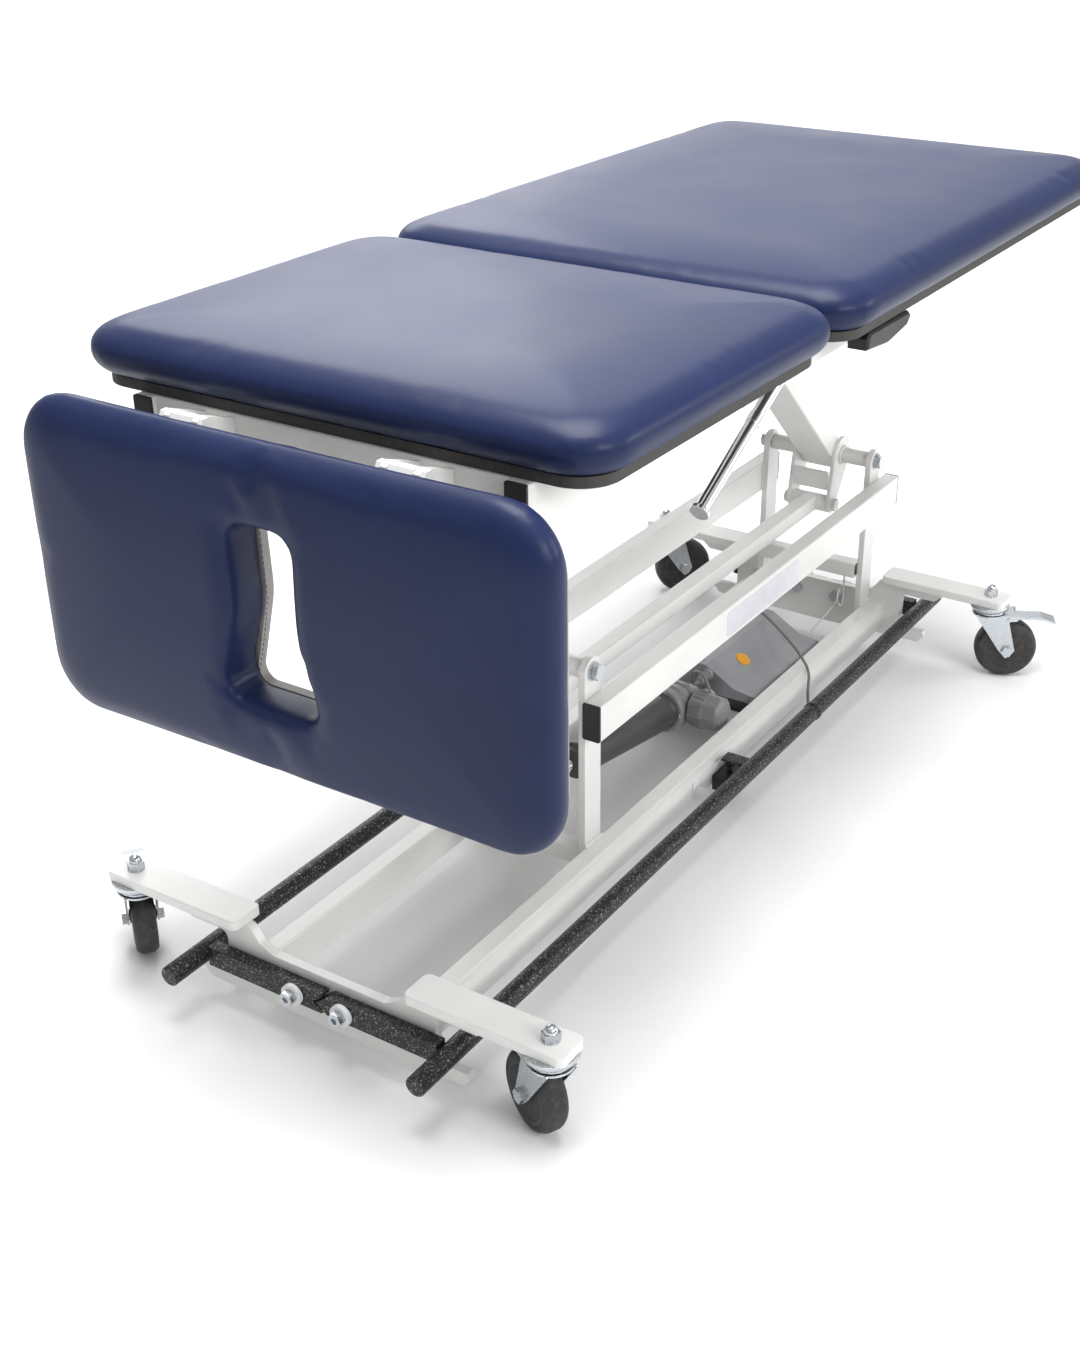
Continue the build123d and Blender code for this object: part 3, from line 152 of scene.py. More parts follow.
def object_place(tree, scale=(1, 1, 1)):
    coords = tree.nodes.new("ShaderNodeTexCoord")
    place = tree.nodes.new("ShaderNodeMapping")
    place.inputs["Scale"].default_value = scale
    tree.links.new(coords.outputs["Object"], place.inputs["Vector"])
    return place.outputs["Vector"]


def noise(tree, where, scale, detail=3.0, roughness=0.55):
    made = tree.nodes.new("ShaderNodeTexNoise")
    made.inputs["Scale"].default_value = scale
    made.inputs["Detail"].default_value = detail
    made.inputs["Roughness"].default_value = roughness
    tree.links.new(where, made.inputs["Vector"])
    return made.outputs["Fac"]


def cells(tree, where, scale, feature="F1"):
    made = tree.nodes.new("ShaderNodeTexVoronoi")
    made.feature = feature
    made.inputs["Scale"].default_value = scale
    tree.links.new(where, made.inputs["Vector"])
    return made.outputs["Distance"]


def ramp(tree, value, low, high, colour_low, colour_high):
    made = tree.nodes.new("ShaderNodeValToRGB")
    made.color_ramp.elements[0].position = low
    made.color_ramp.elements[1].position = high
    made.color_ramp.elements[0].color = colour_low
    made.color_ramp.elements[1].color = colour_high
    tree.links.new(value, made.inputs["Fac"])
    return made.outputs["Color"]


def remap(tree, value, low, high, to_low, to_high):
    made = tree.nodes.new("ShaderNodeMapRange")
    for name, number in (("From Min", low), ("From Max", high), ("To Min", to_low), ("To Max", to_high)):
        made.inputs[name].default_value = number
    tree.links.new(value, made.inputs["Value"])
    return made.outputs["Result"]


def blend_values(tree, a, b, share=0.5):
    made = tree.nodes.new("ShaderNodeMath")
    made.operation = "MULTIPLY_ADD"
    made.inputs[1].default_value = share
    tree.links.new(a, made.inputs[0])
    tree.links.new(b, made.inputs[2])
    return made.outputs["Value"]


def bump(tree, shader, height, strength, depth, edge=0.0):
    """Surface grain; with an edge radius, hard edges also catch the light as if rounded."""
    made = tree.nodes.new("ShaderNodeBump")
    if edge:
        rounding = tree.nodes.new("ShaderNodeBevel")
        rounding.samples = 4
        rounding.inputs["Radius"].default_value = edge
        tree.links.new(rounding.outputs["Normal"], made.inputs["Normal"])
    made.inputs["Strength"].default_value = strength
    made.inputs["Distance"].default_value = depth
    tree.links.new(height, made.inputs["Height"])
    tree.links.new(made.outputs["Normal"], shader.inputs["Normal"])


def shade(colour, factor):
    return tuple(min(1.0, c * factor) for c in colour[:3]) + (1.0,)


def tint(tree, shader, value, low, high, colour, dark, light):
    """Vary the base colour a little with a pattern."""
    mixed = ramp(tree, value, low, high, shade(colour, dark), shade(colour, light))
    tree.links.new(mixed, shader.inputs["Base Color"])


def gloss(tree, shader, value, low, high, rough_low, rough_high):
    """Vary the roughness with a pattern."""
    mixed = remap(tree, value, low, high, rough_low, rough_high)
    tree.links.new(mixed, shader.inputs["Roughness"])


def vinyl(colour):
    """Navy upholstery vinyl: small leather grain, soft broad gloss."""
    made, tree, shader = new_material("vinyl")
    where = object_place(tree)
    pebbles = cells(tree, where, 620, "SMOOTH_F1")
    fine = noise(tree, where, 1500, 2)
    patch = noise(tree, where, 7, 3)
    tint(tree, shader, patch, 0.3, 0.75, colour, 0.90, 1.12)
    gloss(tree, shader, patch, 0.2, 0.8, 0.40, 0.48)
    bump(tree, shader, blend_values(tree, pebbles, fine, 0.8), 0.22, 0.0005)
    shader.inputs["Specular IOR Level"].default_value = 0.16
    shader.inputs["Coat Weight"].default_value = 0.12
    shader.inputs["Coat Roughness"].default_value = 0.22
    return made


def powder_coat(colour, name="powder_coat"):
    """Off-white powder coat: faint orange peel, a little dirt in patches."""
    made, tree, shader = new_material(name)
    where = object_place(tree)
    peel = noise(tree, where, 420, 2)
    patch = noise(tree, where, 9, 4)
    tint(tree, shader, patch, 0.3, 0.7, colour, 0.94, 1.03)
    gloss(tree, shader, patch, 0.3, 0.7, 0.30, 0.40)
    bump(tree, shader, peel, 0.12, 0.0004, edge=0.0016)
    shader.inputs["Coat Weight"].default_value = 0.12
    shader.inputs["Coat Roughness"].default_value = 0.25
    return made


def hammered_coat(colour):
    """Black hammered coat with fine silver speckle."""
    made, tree, shader = new_material("hammered_coat")
    where = object_place(tree)
    dents = cells(tree, where, 300, "SMOOTH_F1")
    speckle = noise(tree, where, 420, 3, 0.65)
    fleck = ramp(tree, speckle, 0.57, 0.68, shade(colour, 1.0), (0.34, 0.34, 0.35, 1.0))
    tree.links.new(fleck, shader.inputs["Base Color"])
    gloss(tree, shader, speckle, 0.45, 0.70, 0.42, 0.28)
    tree.links.new(remap(tree, speckle, 0.57, 0.70, 0.0, 0.8), shader.inputs["Metallic"])
    bump(tree, shader, blend_values(tree, dents, speckle, 0.7), 0.6, 0.0011, edge=0.0016)
    shader.inputs["Specular IOR Level"].default_value = 0.35
    return made


def bright_metal(name, colour, rough_low, rough_high, scratch=(60, 60, 60), depth=0.00015):
    made, tree, shader = new_material(name)
    where = object_place(tree, scratch)
    streak = noise(tree, where, 8, 5, 0.65)
    tint(tree, shader, streak, 0.25, 0.75, colour, 0.85, 1.08)
    gloss(tree, shader, streak, 0.3, 0.7, rough_low, rough_high)
    bump(tree, shader, streak, 0.15, depth, edge=0.0006)
    shader.inputs["Metallic"].default_value = 1.0
    return made


def moulded(name, colour, rough=0.45, grain=900, depth=0.0003, strength=0.25):
    """Moulded plastic or rubber with a spark-eroded grain."""
    made, tree, shader = new_material(name)
    where = object_place(tree)
    eroded = noise(tree, where, grain, 3)
    patch = noise(tree, where, 14, 3)
    tint(tree, shader, patch, 0.3, 0.7, colour, 0.88, 1.1)
    gloss(tree, shader, patch, 0.3, 0.7, rough - 0.05, rough + 0.06)
    bump(tree, shader, eroded, strength, depth, edge=0.0008)
    shader.inputs["Specular IOR Level"].default_value = 0.4
    return made


def scuffed_tread(colour):
    """Dark tread rubber, dusty and lightly scuffed where it rolls."""
    made, tree, shader = new_material("tread")
    where = object_place(tree)
    scuff = noise(tree, where, 110, 6, 0.7)
    dust = noise(tree, where, 22, 4)
    tint(tree, shader, scuff, 0.45, 0.8, colour, 1.0, 3.2)
    gloss(tree, shader, dust, 0.3, 0.7, 0.52, 0.70)
    bump(tree, shader, scuff, 0.3, 0.0004)
    return made


def plywood():
    """Dark-backed plywood: thin layers seen along the edges."""
    made, tree, shader = new_material("plywood")
    where = object_place(tree, (3, 3, 1))
    fibre = noise(tree, where, 60, 5)
    tree.links.new(ramp(tree, fibre, 0.3, 0.8, (0.030, 0.029, 0.028, 1), (0.060, 0.057, 0.053, 1)),
                   shader.inputs["Base Color"])
    gloss(tree, shader, fibre, 0.3, 0.7, 0.6, 0.75)
    bump(tree, shader, fibre, 0.25, 0.0004)
    return made


def pale_board():
    """Light laminate of the head board, seen inside the face slot."""
    return moulded("pale_board", (0.42, 0.41, 0.39, 1), 0.5, 300, 0.0003, 0.2)


FINISH = {}


def make_finishes(colours):
    FINISH["vinyl"] = vinyl(colours.vinyl)
    FINISH["coat"] = powder_coat(colours.frame_coat)
    FINISH["hammer"] = hammered_coat(colours.bar_coat)
    FINISH["zinc"] = bright_metal("zinc", (0.56, 0.59, 0.62, 1), 0.20, 0.36)
    FINISH["chrome"] = bright_metal("chrome", (0.80, 0.81, 0.83, 1), 0.05, 0.12, (20, 20, 20), 0.00004)
    FINISH["cast"] = bright_metal("cast_alloy", (0.50, 0.51, 0.52, 1), 0.34, 0.48, (120, 120, 120), 0.0004)
    FINISH["black"] = moulded("black_plastic", (0.012, 0.012, 0.013, 1), 0.42)
    FINISH["grey"] = moulded("grey_plastic", colours.case_grey, 0.36)
    FINISH["dark_grey"] = moulded("dark_grey_plastic", (0.055, 0.057, 0.060, 1), 0.40)
    FINISH["housing"] = moulded("housing_plastic", (0.24, 0.245, 0.25, 1), 0.34, 700)
    FINISH["white"] = moulded("white_plastic", (0.70, 0.71, 0.72, 1), 0.35)
    FINISH["sheath_grey"] = moulded("grey_sheath", (0.20, 0.205, 0.20, 1), 0.45, 1500)
    FINISH["sheath_pale"] = moulded("pale_sheath", (0.50, 0.50, 0.48, 1), 0.45, 1500)
    FINISH["tread"] = scuffed_tread(colours.tread)
    FINISH["rim"] = moulded("rim_plastic", (0.20, 0.205, 0.215, 1), 0.36)
    FINISH["ring"] = moulded("ring_plastic", (0.035, 0.036, 0.038, 1), 0.35)
    FINISH["ply"] = plywood()
    FINISH["board"] = pale_board()
    FINISH["dot"] = moulded("dot_sticker", colours.dot, 0.4, 400, 0.0001, 0.1)
    FINISH["label"] = moulded("plain_label", (0.62, 0.61, 0.66, 1), 0.35, 300, 0.0001, 0.1)
    FINISH["thread"] = moulded("thread", (0.10, 0.13, 0.26, 1), 0.55, 2500)


NODE_FINISH = {
    "coat": ("end_cross_plates", "caster_wing_bars", "lower_side_tubes", "upper_side_rails", "pivot_posts",
             "actuator_mount", "control_box_tray", "front_crank_arm", "front_crank_cheeks", "rear_crank_arm",
             "rear_crank_levers", "link_tube", "top_side_tubes", "top_cross_tubes", "top_carrier_rails",
             "head_hinge_lugs", "leg_hinge_plates", "head_hinge_arms", "leg_frame_tubes"),
    "black": ("rail_end_caps", "switch_body", "switch_plunger", "top_tube_caps",
              "leg_release_lever"),
    "zinc": ("crank_pivot_bolts", "caster_stem_nuts", "caster_swivel_heads", "foot_bar_bolts",
             "top_pivot_pins",
             "caster_fork_front_left", "caster_fork_front_right",
             "caster_fork_rear_left", "caster_fork_rear_right",
             "caster_brake_front_left", "caster_brake_rear_right"),
    "grey": ("control_box_lid", "actuator_motor", "motor_plug"),
    "dark_grey": ("control_box_case", "actuator_outer_tube"),
    "white": ("foot_bar_bushes", "switch_bracket"),
    "hammer": ("foot_bar_left", "foot_bar_right"),
    "cast": ("actuator_gear_case",),
    "chrome": ("actuator_rod", "head_release_handle"),
    "ply": ("middle_board", "leg_board"),
    "board": ("head_board",),
    "vinyl": ("middle_pad", "head_pad", "leg_pad"),
    "rim": ("caster_wheel_front_left", "caster_wheel_front_right", "caster_wheel_rear_left",
            "caster_wheel_rear_right"),
    "sheath_grey": ("switch_cable", "motor_cable"),
    "sheath_pale": ("sensor_cable",),
}


# ------------------------------------------------------------------ mesh helpers
def add_piece(name, mesh, finish, body, smooth=True):
    """Link a finished mesh, give it its finish and let it ride on its body."""
    piece = bpy.data.objects.new(name, mesh)
    bpy.context.scene.collection.objects.link(piece)
    mesh.materials.clear()
    mesh.materials.append(FINISH[finish])
    for face in mesh.polygons:
        face.use_smooth = smooth
    if smooth:
        mesh.set_sharp_from_angle(angle=math.radians(38))
    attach(piece, body)
    return piece


def turned(name, profile, origin, axis, segments=64):
    """Mesh turned on a lathe: profile is (along, radius) pairs, both ends on the axis or closed by a cap."""
    along = Vector(axis).normalized()
    side = along.orthogonal().normalized()
    up = along.cross(side)
    start = Vector(origin)
    builder = bmesh.new()
    rings = []
    for distance, radius in profile:
        centre = start + along * distance
        if radius < 1e-6:
            rings.append([builder.verts.new(centre)])
            continue
        ring = []
        for step in range(segments):
            angle = 2 * math.pi * step / segments
            spoke = side * (radius * math.cos(angle)) + up * (radius * math.sin(angle))
            ring.append(builder.verts.new(centre + spoke))
        rings.append(ring)
    for near, far in zip(rings, rings[1:]):
        if len(near) == 1 and len(far) == 1:
            continue
        for step in range(segments):
            after = (step + 1) % segments
            if len(near) == 1:
                builder.faces.new((near[0], far[step], far[after]))
            elif len(far) == 1:
                builder.faces.new((near[step], far[0], near[after]))
            else:
                builder.faces.new((near[step], far[step], far[after], near[after]))
    for ring in (rings[0], rings[-1]):
        if len(ring) > 1:
            builder.faces.new(ring)
    bmesh.ops.recalc_face_normals(builder, faces=builder.faces)
    mesh = bpy.data.meshes.new(name)
    builder.to_mesh(mesh)
    builder.free()
    return mesh


def lathe_piece(name, profile, origin, axis, segments, finish, body):
    """A turned piece, finished and riding on its body."""
    return add_piece(name, turned(name, profile, origin, axis, segments), finish, body)


def mirrored(half):
    """A turned outline from one half of it: the other half is the same with the side changed."""
    return [(-along, radius) for along, radius in half] + half[::-1]


def rounded(points, radius, steps=5):
    """Round the inner corners of a turned profile."""
    made = [points[0]]
    for before, here, after in zip(points, points[1:], points[2:]):
        a, b, c = Vector(before), Vector(here), Vector(after)
        reach = min(radius, (a - b).length * 0.45, (c - b).length * 0.45)
        start = b + (a - b).normalized() * reach
        end = b + (c - b).normalized() * reach
        for step in range(steps + 1):
            t = step / steps
            made.append(tuple(start.lerp(b, t).lerp(b.lerp(end, t), t)))
    made.append(points[-1])
    return made


def copy_of(node, name):
    """A welded copy of a CAD node's mesh."""
    mesh = NODES[node].data.copy()
    mesh.name = name
    builder = bmesh.new()
    builder.from_mesh(mesh)
    bmesh.ops.remove_doubles(builder, verts=builder.verts, dist=1e-6)
    builder.to_mesh(mesh)
    builder.free()
    return mesh


def joint_named(name):
    return next(j for j in frame["joints"] if j["name"] == name)


# ------------------------------------------------------------------ geometry node trees
def repeat_tree(name, finish):
    """Repeats a small shape along a curve: spacing, size and stretch are named inputs."""
    tree = bpy.data.node_groups.new(name, "GeometryNodeTree")
    face = tree.interface
    face.new_socket("Path", in_out="INPUT", socket_type="NodeSocketGeometry")
    for label, value in (("Spacing", 0.005), ("Length", 0.003), ("Width", 0.002), ("Height", 0.002)):
        socket = face.new_socket(label, in_out="INPUT", socket_type="NodeSocketFloat")
        socket.default_value = value
    face.new_socket("Repeated", in_out="OUTPUT", socket_type="NodeSocketGeometry")
    nodes, links = tree.nodes, tree.links
    start = nodes.new("NodeGroupInput")
    end = nodes.new("NodeGroupOutput")
    points = nodes.new("GeometryNodeCurveToPoints")
    points.mode = "LENGTH"
    ball = nodes.new("GeometryNodeMeshUVSphere")
    ball.inputs["Segments"].default_value = 8
    ball.inputs["Rings"].default_value = 6
    ball.inputs["Radius"].default_value = 0.5
    size = nodes.new("ShaderNodeCombineXYZ")
    place = nodes.new("GeometryNodeInstanceOnPoints")
    solid = nodes.new("GeometryNodeRealizeInstances")
    paint = nodes.new("GeometryNodeSetMaterial")
    paint.inputs["Material"].default_value = FINISH[finish]
    links.new(start.outputs["Path"], points.inputs["Curve"])
    links.new(start.outputs["Spacing"], points.inputs["Length"])
    links.new(points.outputs["Points"], place.inputs["Points"])
    links.new(points.outputs["Rotation"], place.inputs["Rotation"])
    links.new(ball.outputs["Mesh"], place.inputs["Instance"])
    links.new(start.outputs["Height"], size.inputs["X"])
    links.new(start.outputs["Width"], size.inputs["Y"])
    links.new(start.outputs["Length"], size.inputs["Z"])
    links.new(size.outputs["Vector"], place.inputs["Scale"])
    links.new(place.outputs["Instances"], solid.inputs["Geometry"])
    links.new(solid.outputs["Geometry"], paint.inputs["Geometry"])
    links.new(paint.outputs["Geometry"], end.inputs["Repeated"])
    return tree


def run_tree(tree, paths, values, name, finish, body):
    """Run a repeat tree on open or closed paths and keep its result as one plain piece."""
    curve = bpy.data.curves.new(name + "_path", "CURVE")
    curve.dimensions = "3D"
    for points, closed in paths:
        line = curve.splines.new("POLY")
        line.points.add(len(points) - 1)
        for slot_point, point in zip(line.points, points):
            slot_point.co = (*point, 1)
        line.use_cyclic_u = closed
    holder = bpy.data.objects.new(name + "_path", curve)
    bpy.context.scene.collection.objects.link(holder)
    change = holder.modifiers.new("repeat", "NODES")
    change.node_group = tree
    for item in tree.interface.items_tree:
        if item.item_type == "SOCKET" and item.in_out == "INPUT" and item.name in values:
            change[item.identifier] = values[item.name]
    bpy.context.view_layer.update()
    result = holder.evaluated_get(bpy.context.evaluated_depsgraph_get())
    mesh = bpy.data.meshes.new_from_object(result)
    holder.modifiers.clear()
    bpy.data.objects.remove(holder)
    if not mesh.vertices:
        raise RuntimeError(name + " came out empty")
    mesh.name = name
    return add_piece(name, mesh, finish, body)


def ring_points(centre, axis, radius, count=36):
    along = Vector(axis).normalized()
    side = along.orthogonal().normalized()
    up = along.cross(side)
    middle = Vector(centre)
    angles = [2 * math.pi * k / count for k in range(count)]
    return [middle + side * (radius * math.cos(angle)) + up * (radius * math.sin(angle)) for angle in angles]


# ------------------------------------------------------------------ pads
def edge_distance(x, y, low, high, corner):
    """Distance inward from a rounded rectangle's outline."""
    half = Vector(((high.x - low.x) / 2, (high.y - low.y) / 2))
    qx = abs(x - (low.x + high.x) / 2) - half.x + corner
    qy = abs(y - (low.y + high.y) / 2) - half.y + corner
    outside = math.hypot(max(qx, 0), max(qy, 0))
    return -(outside + min(max(qx, qy), 0) - corner)


def inflate(piece, sizes):
    """Blow the vinyl up a little with a short cloth run, and cap how far it goes."""
    mesh = piece.data
    rest = [v.co.copy() for v in mesh.vertices]
    cloth = piece.modifiers.new("foam", "CLOTH")
    settings = cloth.settings
    settings.quality = 4
    settings.mass = 0.3
    settings.tension_stiffness = 30
    settings.compression_stiffness = 30
    settings.shear_stiffness = 15
    settings.bending_stiffness = 4
    settings.use_pressure = True
    settings.uniform_pressure_force = sizes.pressure
    settings.effector_weights.gravity = 0
    cloth.point_cache.frame_start = 1
    cloth.point_cache.frame_end = CLOTH_FRAMES
    scene = bpy.context.scene
    for step in range(1, CLOTH_FRAMES + 1):
        scene.frame_set(step)
    result = piece.evaluated_get(bpy.context.evaluated_depsgraph_get())
    blown = [v.co.copy() for v in result.data.vertices]
    piece.modifiers.remove(cloth)
    scene.frame_set(1)
    for vertex, start, end in zip(mesh.vertices, rest, blown):
        move = end - start
        if move.length > sizes.swell:
            move = move.normalized() * sizes.swell
        vertex.co = start + move * SWELL_SHARE
    mesh.update()


def pad_piece(node, name, body, sizes, level=True):
    """One upholstered pad from its CAD solid: remeshed, crowned, blown up and smoothed."""
    low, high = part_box(node)
    mesh = copy_of(node, name)
    piece = bpy.data.objects.new(name, mesh)
    bpy.context.scene.collection.objects.link(piece)
    remesh = piece.modifiers.new("remesh", "REMESH")
    remesh.mode = "VOXEL"
    remesh.voxel_size = sizes.voxel
    soften = piece.modifiers.new("soften", "SMOOTH")
    soften.factor = 0.5
    soften.iterations = 4
    made = bpy.data.meshes.new_from_object(piece.evaluated_get(bpy.context.evaluated_depsgraph_get()))
    piece.modifiers.clear()
    piece.data = made
    made.name = name
    inflate(piece, sizes)
    thick = (high.z - low.z) if level else (high.x - low.x)
    for vertex in made.vertices:
        spot = vertex.co
        if level:
            depth = edge_distance(spot.x, spot.y, low, high, PAD_CORNER)
            lift = (spot.z - low.z) / thick
        else:
            depth = edge_distance(spot.z, spot.y, Vector((low.z, low.y)), Vector((high.z, high.y)),
                                  PAD_CORNER)
            lift = (high.x - spot.x) / thick
        near_edge = 1 - min(max(depth / CROWN_REACH, 0), 1)
        drop = sizes.crown * near_edge ** 2 * min(max(lift, 0), 1) ** 1.5
        if level:
            spot.z = max(spot.z - drop, low.z)
        else:
            spot.x = min(spot.x + drop, high.x)
    finer = piece.modifiers.new("finer", "SUBSURF")
    finer.levels = 1
    finer.render_levels = 1
    made = bpy.data.meshes.new_from_object(piece.evaluated_get(bpy.context.evaluated_depsgraph_get()))
    bpy.data.objects.remove(piece)
    for vertex in made.vertices:
        if level:
            vertex.co.z = max(vertex.co.z, low.z)
        else:
            vertex.co.x = min(vertex.co.x, high.x)
    piece = add_piece(name, made, "vinyl", body)
    piece.data.name = name
    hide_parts(node)
    return piece


# ------------------------------------------------------------------ operators
class COUCH_OT_finishes(bpy.types.Operator):
    """Make the couch's finishes and give them to the frame's own pieces"""

    bl_idname = "couch.finishes"
    bl_label = "Finishes"

    def execute(self, context):
        make_finishes(context.scene.couch_colours)
        for finish, names in NODE_FINISH.items():
            for name in names:
                if name not in NODES:
                    raise RuntimeError("no frame piece named " + name)
                mesh = NODES[name].data
                mesh.materials.clear()
                mesh.materials.append(FINISH[finish])
        return {"FINISHED"}


class COUCH_OT_pads(bpy.types.Operator):
    """Make the three upholstered pads"""

    bl_idname = "couch.pads"
    bl_label = "Pads"

    def execute(self, context):
        sizes = context.scene.couch_sizes
        pad_piece("middle_pad", "middle_cushion", "top_frame", sizes)
        pad_piece("leg_pad", "leg_cushion", "leg_section", sizes)
        pad_piece("head_pad", "head_cushion", "head_section", sizes, level=False)
        return {"FINISHED"}


class COUCH_OT_casters(bpy.types.Operator):
    """Turn the caster wheels, their hubs and the swivel bowls"""

    bl_idname = "couch.casters"
    bl_label = "Casters"

    def execute(self, context):
        wing_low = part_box("caster_wing_bars")[0].z
        for key in CORNERS:
            spin = joint_named(f"wheel_{key}_spin")
            hub = Vector(spin["pos_m"])
            axis = Vector(spin["axis"])
            low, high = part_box(f"caster_wheel_{key}")
            radius = (high.z - low.z) / 2
            side_of_tread = [(TREAD_HALF - 0.0005, radius - TREAD_DEPTH),
                             (TREAD_HALF - 0.0005, radius - 0.009),
                             (TREAD_HALF - 0.001, radius - 0.005),
                             (TREAD_HALF - 0.007, radius - 0.0003)]
            tread = rounded(mirrored(side_of_tread), 0.005)
            piece = lathe_piece(f"tread_{key}", tread, hub, axis, 72, "tread", f"wheel_{key}")
            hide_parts(f"caster_wheel_{key}")
            side_of_hub = [(HUB_NOSE, 0.0051), (HUB_NOSE, 0.0088), (0.0120, 0.0105),
                           (HUB_WEB, 0.0150), (HUB_WEB, 0.0240), (0.0125, 0.0275),
                           (HUB_RIM, 0.0285), (HUB_RIM, radius - HUB_DEPTH)]
            lathe_piece(f"hub_{key}", mirrored(side_of_hub), hub, axis, 64, "rim", f"wheel_{key}")
            for side, label in ((-1, "a"), (1, "b")):
                line = [(side * HUB_RIM, radius - 0.0165), (side * RING_FACE, radius - 0.0160),
                        (side * RING_FACE, radius - 0.0140), (side * HUB_RIM, radius - 0.0135)]
                if side > 0:
                    line.reverse()
                lathe_piece(f"ring_{key}_{label}", line, hub, axis, 64, "ring", f"wheel_{key}")
            stem = Vector(joint_named(f"swivel_{key}_turn")["pos_m"])
            bowl = [(0, BOWL_BORE), (0, 0.0315), (0.0030, 0.0320), (0.0075, 0.0300),
                    (0.0120, 0.0245), (0.0135, 0.0200), (0.0140, BOWL_BORE)]
            top = Vector((stem.x, stem.y, wing_low - 0.0002))
            lathe_piece(f"swivel_bowl_{key}", bowl, top, (0, 0, -1), 56, "zinc", "base")
        return {"FINISHED"}


class COUCH_OT_actuator(bpy.types.Operator):
    """Make the cast gear case, the ribbed motor and the actuator's sleeve"""

    bl_idname = "couch.actuator"
    bl_label = "Actuator"

    def execute(self, context):
        tail = Vector(joint_named("actuator_tilt")["pos_m"])
        axis = Vector(joint_named("actuator_stroke")["axis"])
        self.housing(tail, axis)
        self.motor(context.scene.couch_sizes)
        self.screws(tail, axis.normalized())
        return {"FINISHED"}

    def housing(self, tail, axis):
        """Gear case with its two grooves, tail eye, neck and the sleeve of the outer tube."""
        case = rounded([(0.034, 0), (0.034, 0.018), (0.040, 0.026), (0.047, 0.0335), (0.058, 0.0338),
                        (0.060, 0.0310), (0.064, 0.0310), (0.066, 0.0338), (0.078, 0.0338), (0.080, 0.0312),
                        (0.090, 0.0312), (0.091, 0.0335), (0.099, 0.0335), (CASE_END, 0.0320), (CASE_END, 0)],
                       0.0015, 3)
        piece = lathe_piece("gear_housing", case, tail, axis, 72, "housing", "actuator_body")
        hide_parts("actuator_gear_case")
        eye = rounded([(-EYE_HALF, 0.0062), (-EYE_HALF, 0.013), (EYE_HALF, 0.013), (EYE_HALF, 0.0062)],
                      0.001, 2)
        lathe_piece("tail_eye", eye, tail, (0, 1, 0), 40, "cast", "actuator_body")
        neck = [(0.0126, 0), (0.0126, 0.0125), (0.030, 0.0135), (0.040, 0.0200), (0.040, 0)]
        lathe_piece("tail_neck", neck, tail, axis, 40, "cast", "actuator_body")
        sleeve = rounded([(0.102, SLEEVE_BORE), (0.102, 0.0278), (0.110, 0.0280), (0.112, 0.0265),
                          (0.122, 0.0272), (0.338, 0.0240), (0.340, 0.0262), (0.348, 0.0262), (0.350, 0.0205),
                          (SLEEVE_END, 0.0200), (SLEEVE_END, SLEEVE_BORE)], 0.0012, 3)
        piece = lathe_piece("actuator_sleeve", sleeve, tail, axis, 72, "dark_grey", "actuator_body")
        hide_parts("actuator_outer_tube")

    def motor(self, sizes):
        """Eight-sided motor can with its cap and cooling ribs."""
        low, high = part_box("actuator_motor")
        middle = (low + high) / 2
        start = Vector((middle.x, low.y, middle.z))
        can = rounded([(0, 0), (0, 0.0205), (0.006, 0.0262), (0.026, 0.0275), (0.028, 0.0288),
                       (CAN_LENGTH, 0.0290), (CAN_LENGTH, 0)], 0.0015, 3)
        piece = lathe_piece("motor_can", can, start, (0, 1, 0), 8, "housing", "actuator_body")
        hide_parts("actuator_motor")
        cap = rounded([(-0.0006, 0), (-0.0006, 0.0120), (0.0006, 0.0135), (0.0006, 0)], 0.0004, 2)
        lathe_piece("motor_cap", cap, start, (0, 1, 0), 40, "housing", "actuator_body")
        tree = repeat_tree("motor_ribs", "housing")
        paths = []
        for step in range(sizes.rib_count):
            angle = 2 * math.pi * step / sizes.rib_count
            edge = Vector((math.cos(angle), 0, math.sin(angle))) * RIB_RADIUS
            rib = [start + edge + Vector((0, RIB_START + RIB_STEP * k, 0)) for k in range(8)]
            paths.append((rib, False))
        values = {"Spacing": RIB_STEP, "Length": 0.0042, "Width": 0.0016, "Height": 0.0020}
        run_tree(tree, paths, values, "motor_ribs", "housing", "actuator_body")

    def screws(self, tail, along):
        """Four screws in the end of the gear case."""
        side = along.orthogonal().normalized()
        head = rounded([(0, 0), (0, 0.0030), (0.0020, 0.0029), (0.0026, 0.0018), (0.0026, 0)], 0.0003, 2)
        for number, angle in enumerate((45, 135, 225, 315)):
            out = side * math.cos(math.radians(angle)) + along.cross(side) * math.sin(math.radians(angle))
            place = tail + along * (CASE_END - 0.0001) + out * CASE_SCREW_RADIUS
            lathe_piece(f"housing_screw_{number}", head, place, along, 20, "zinc", "actuator_body")


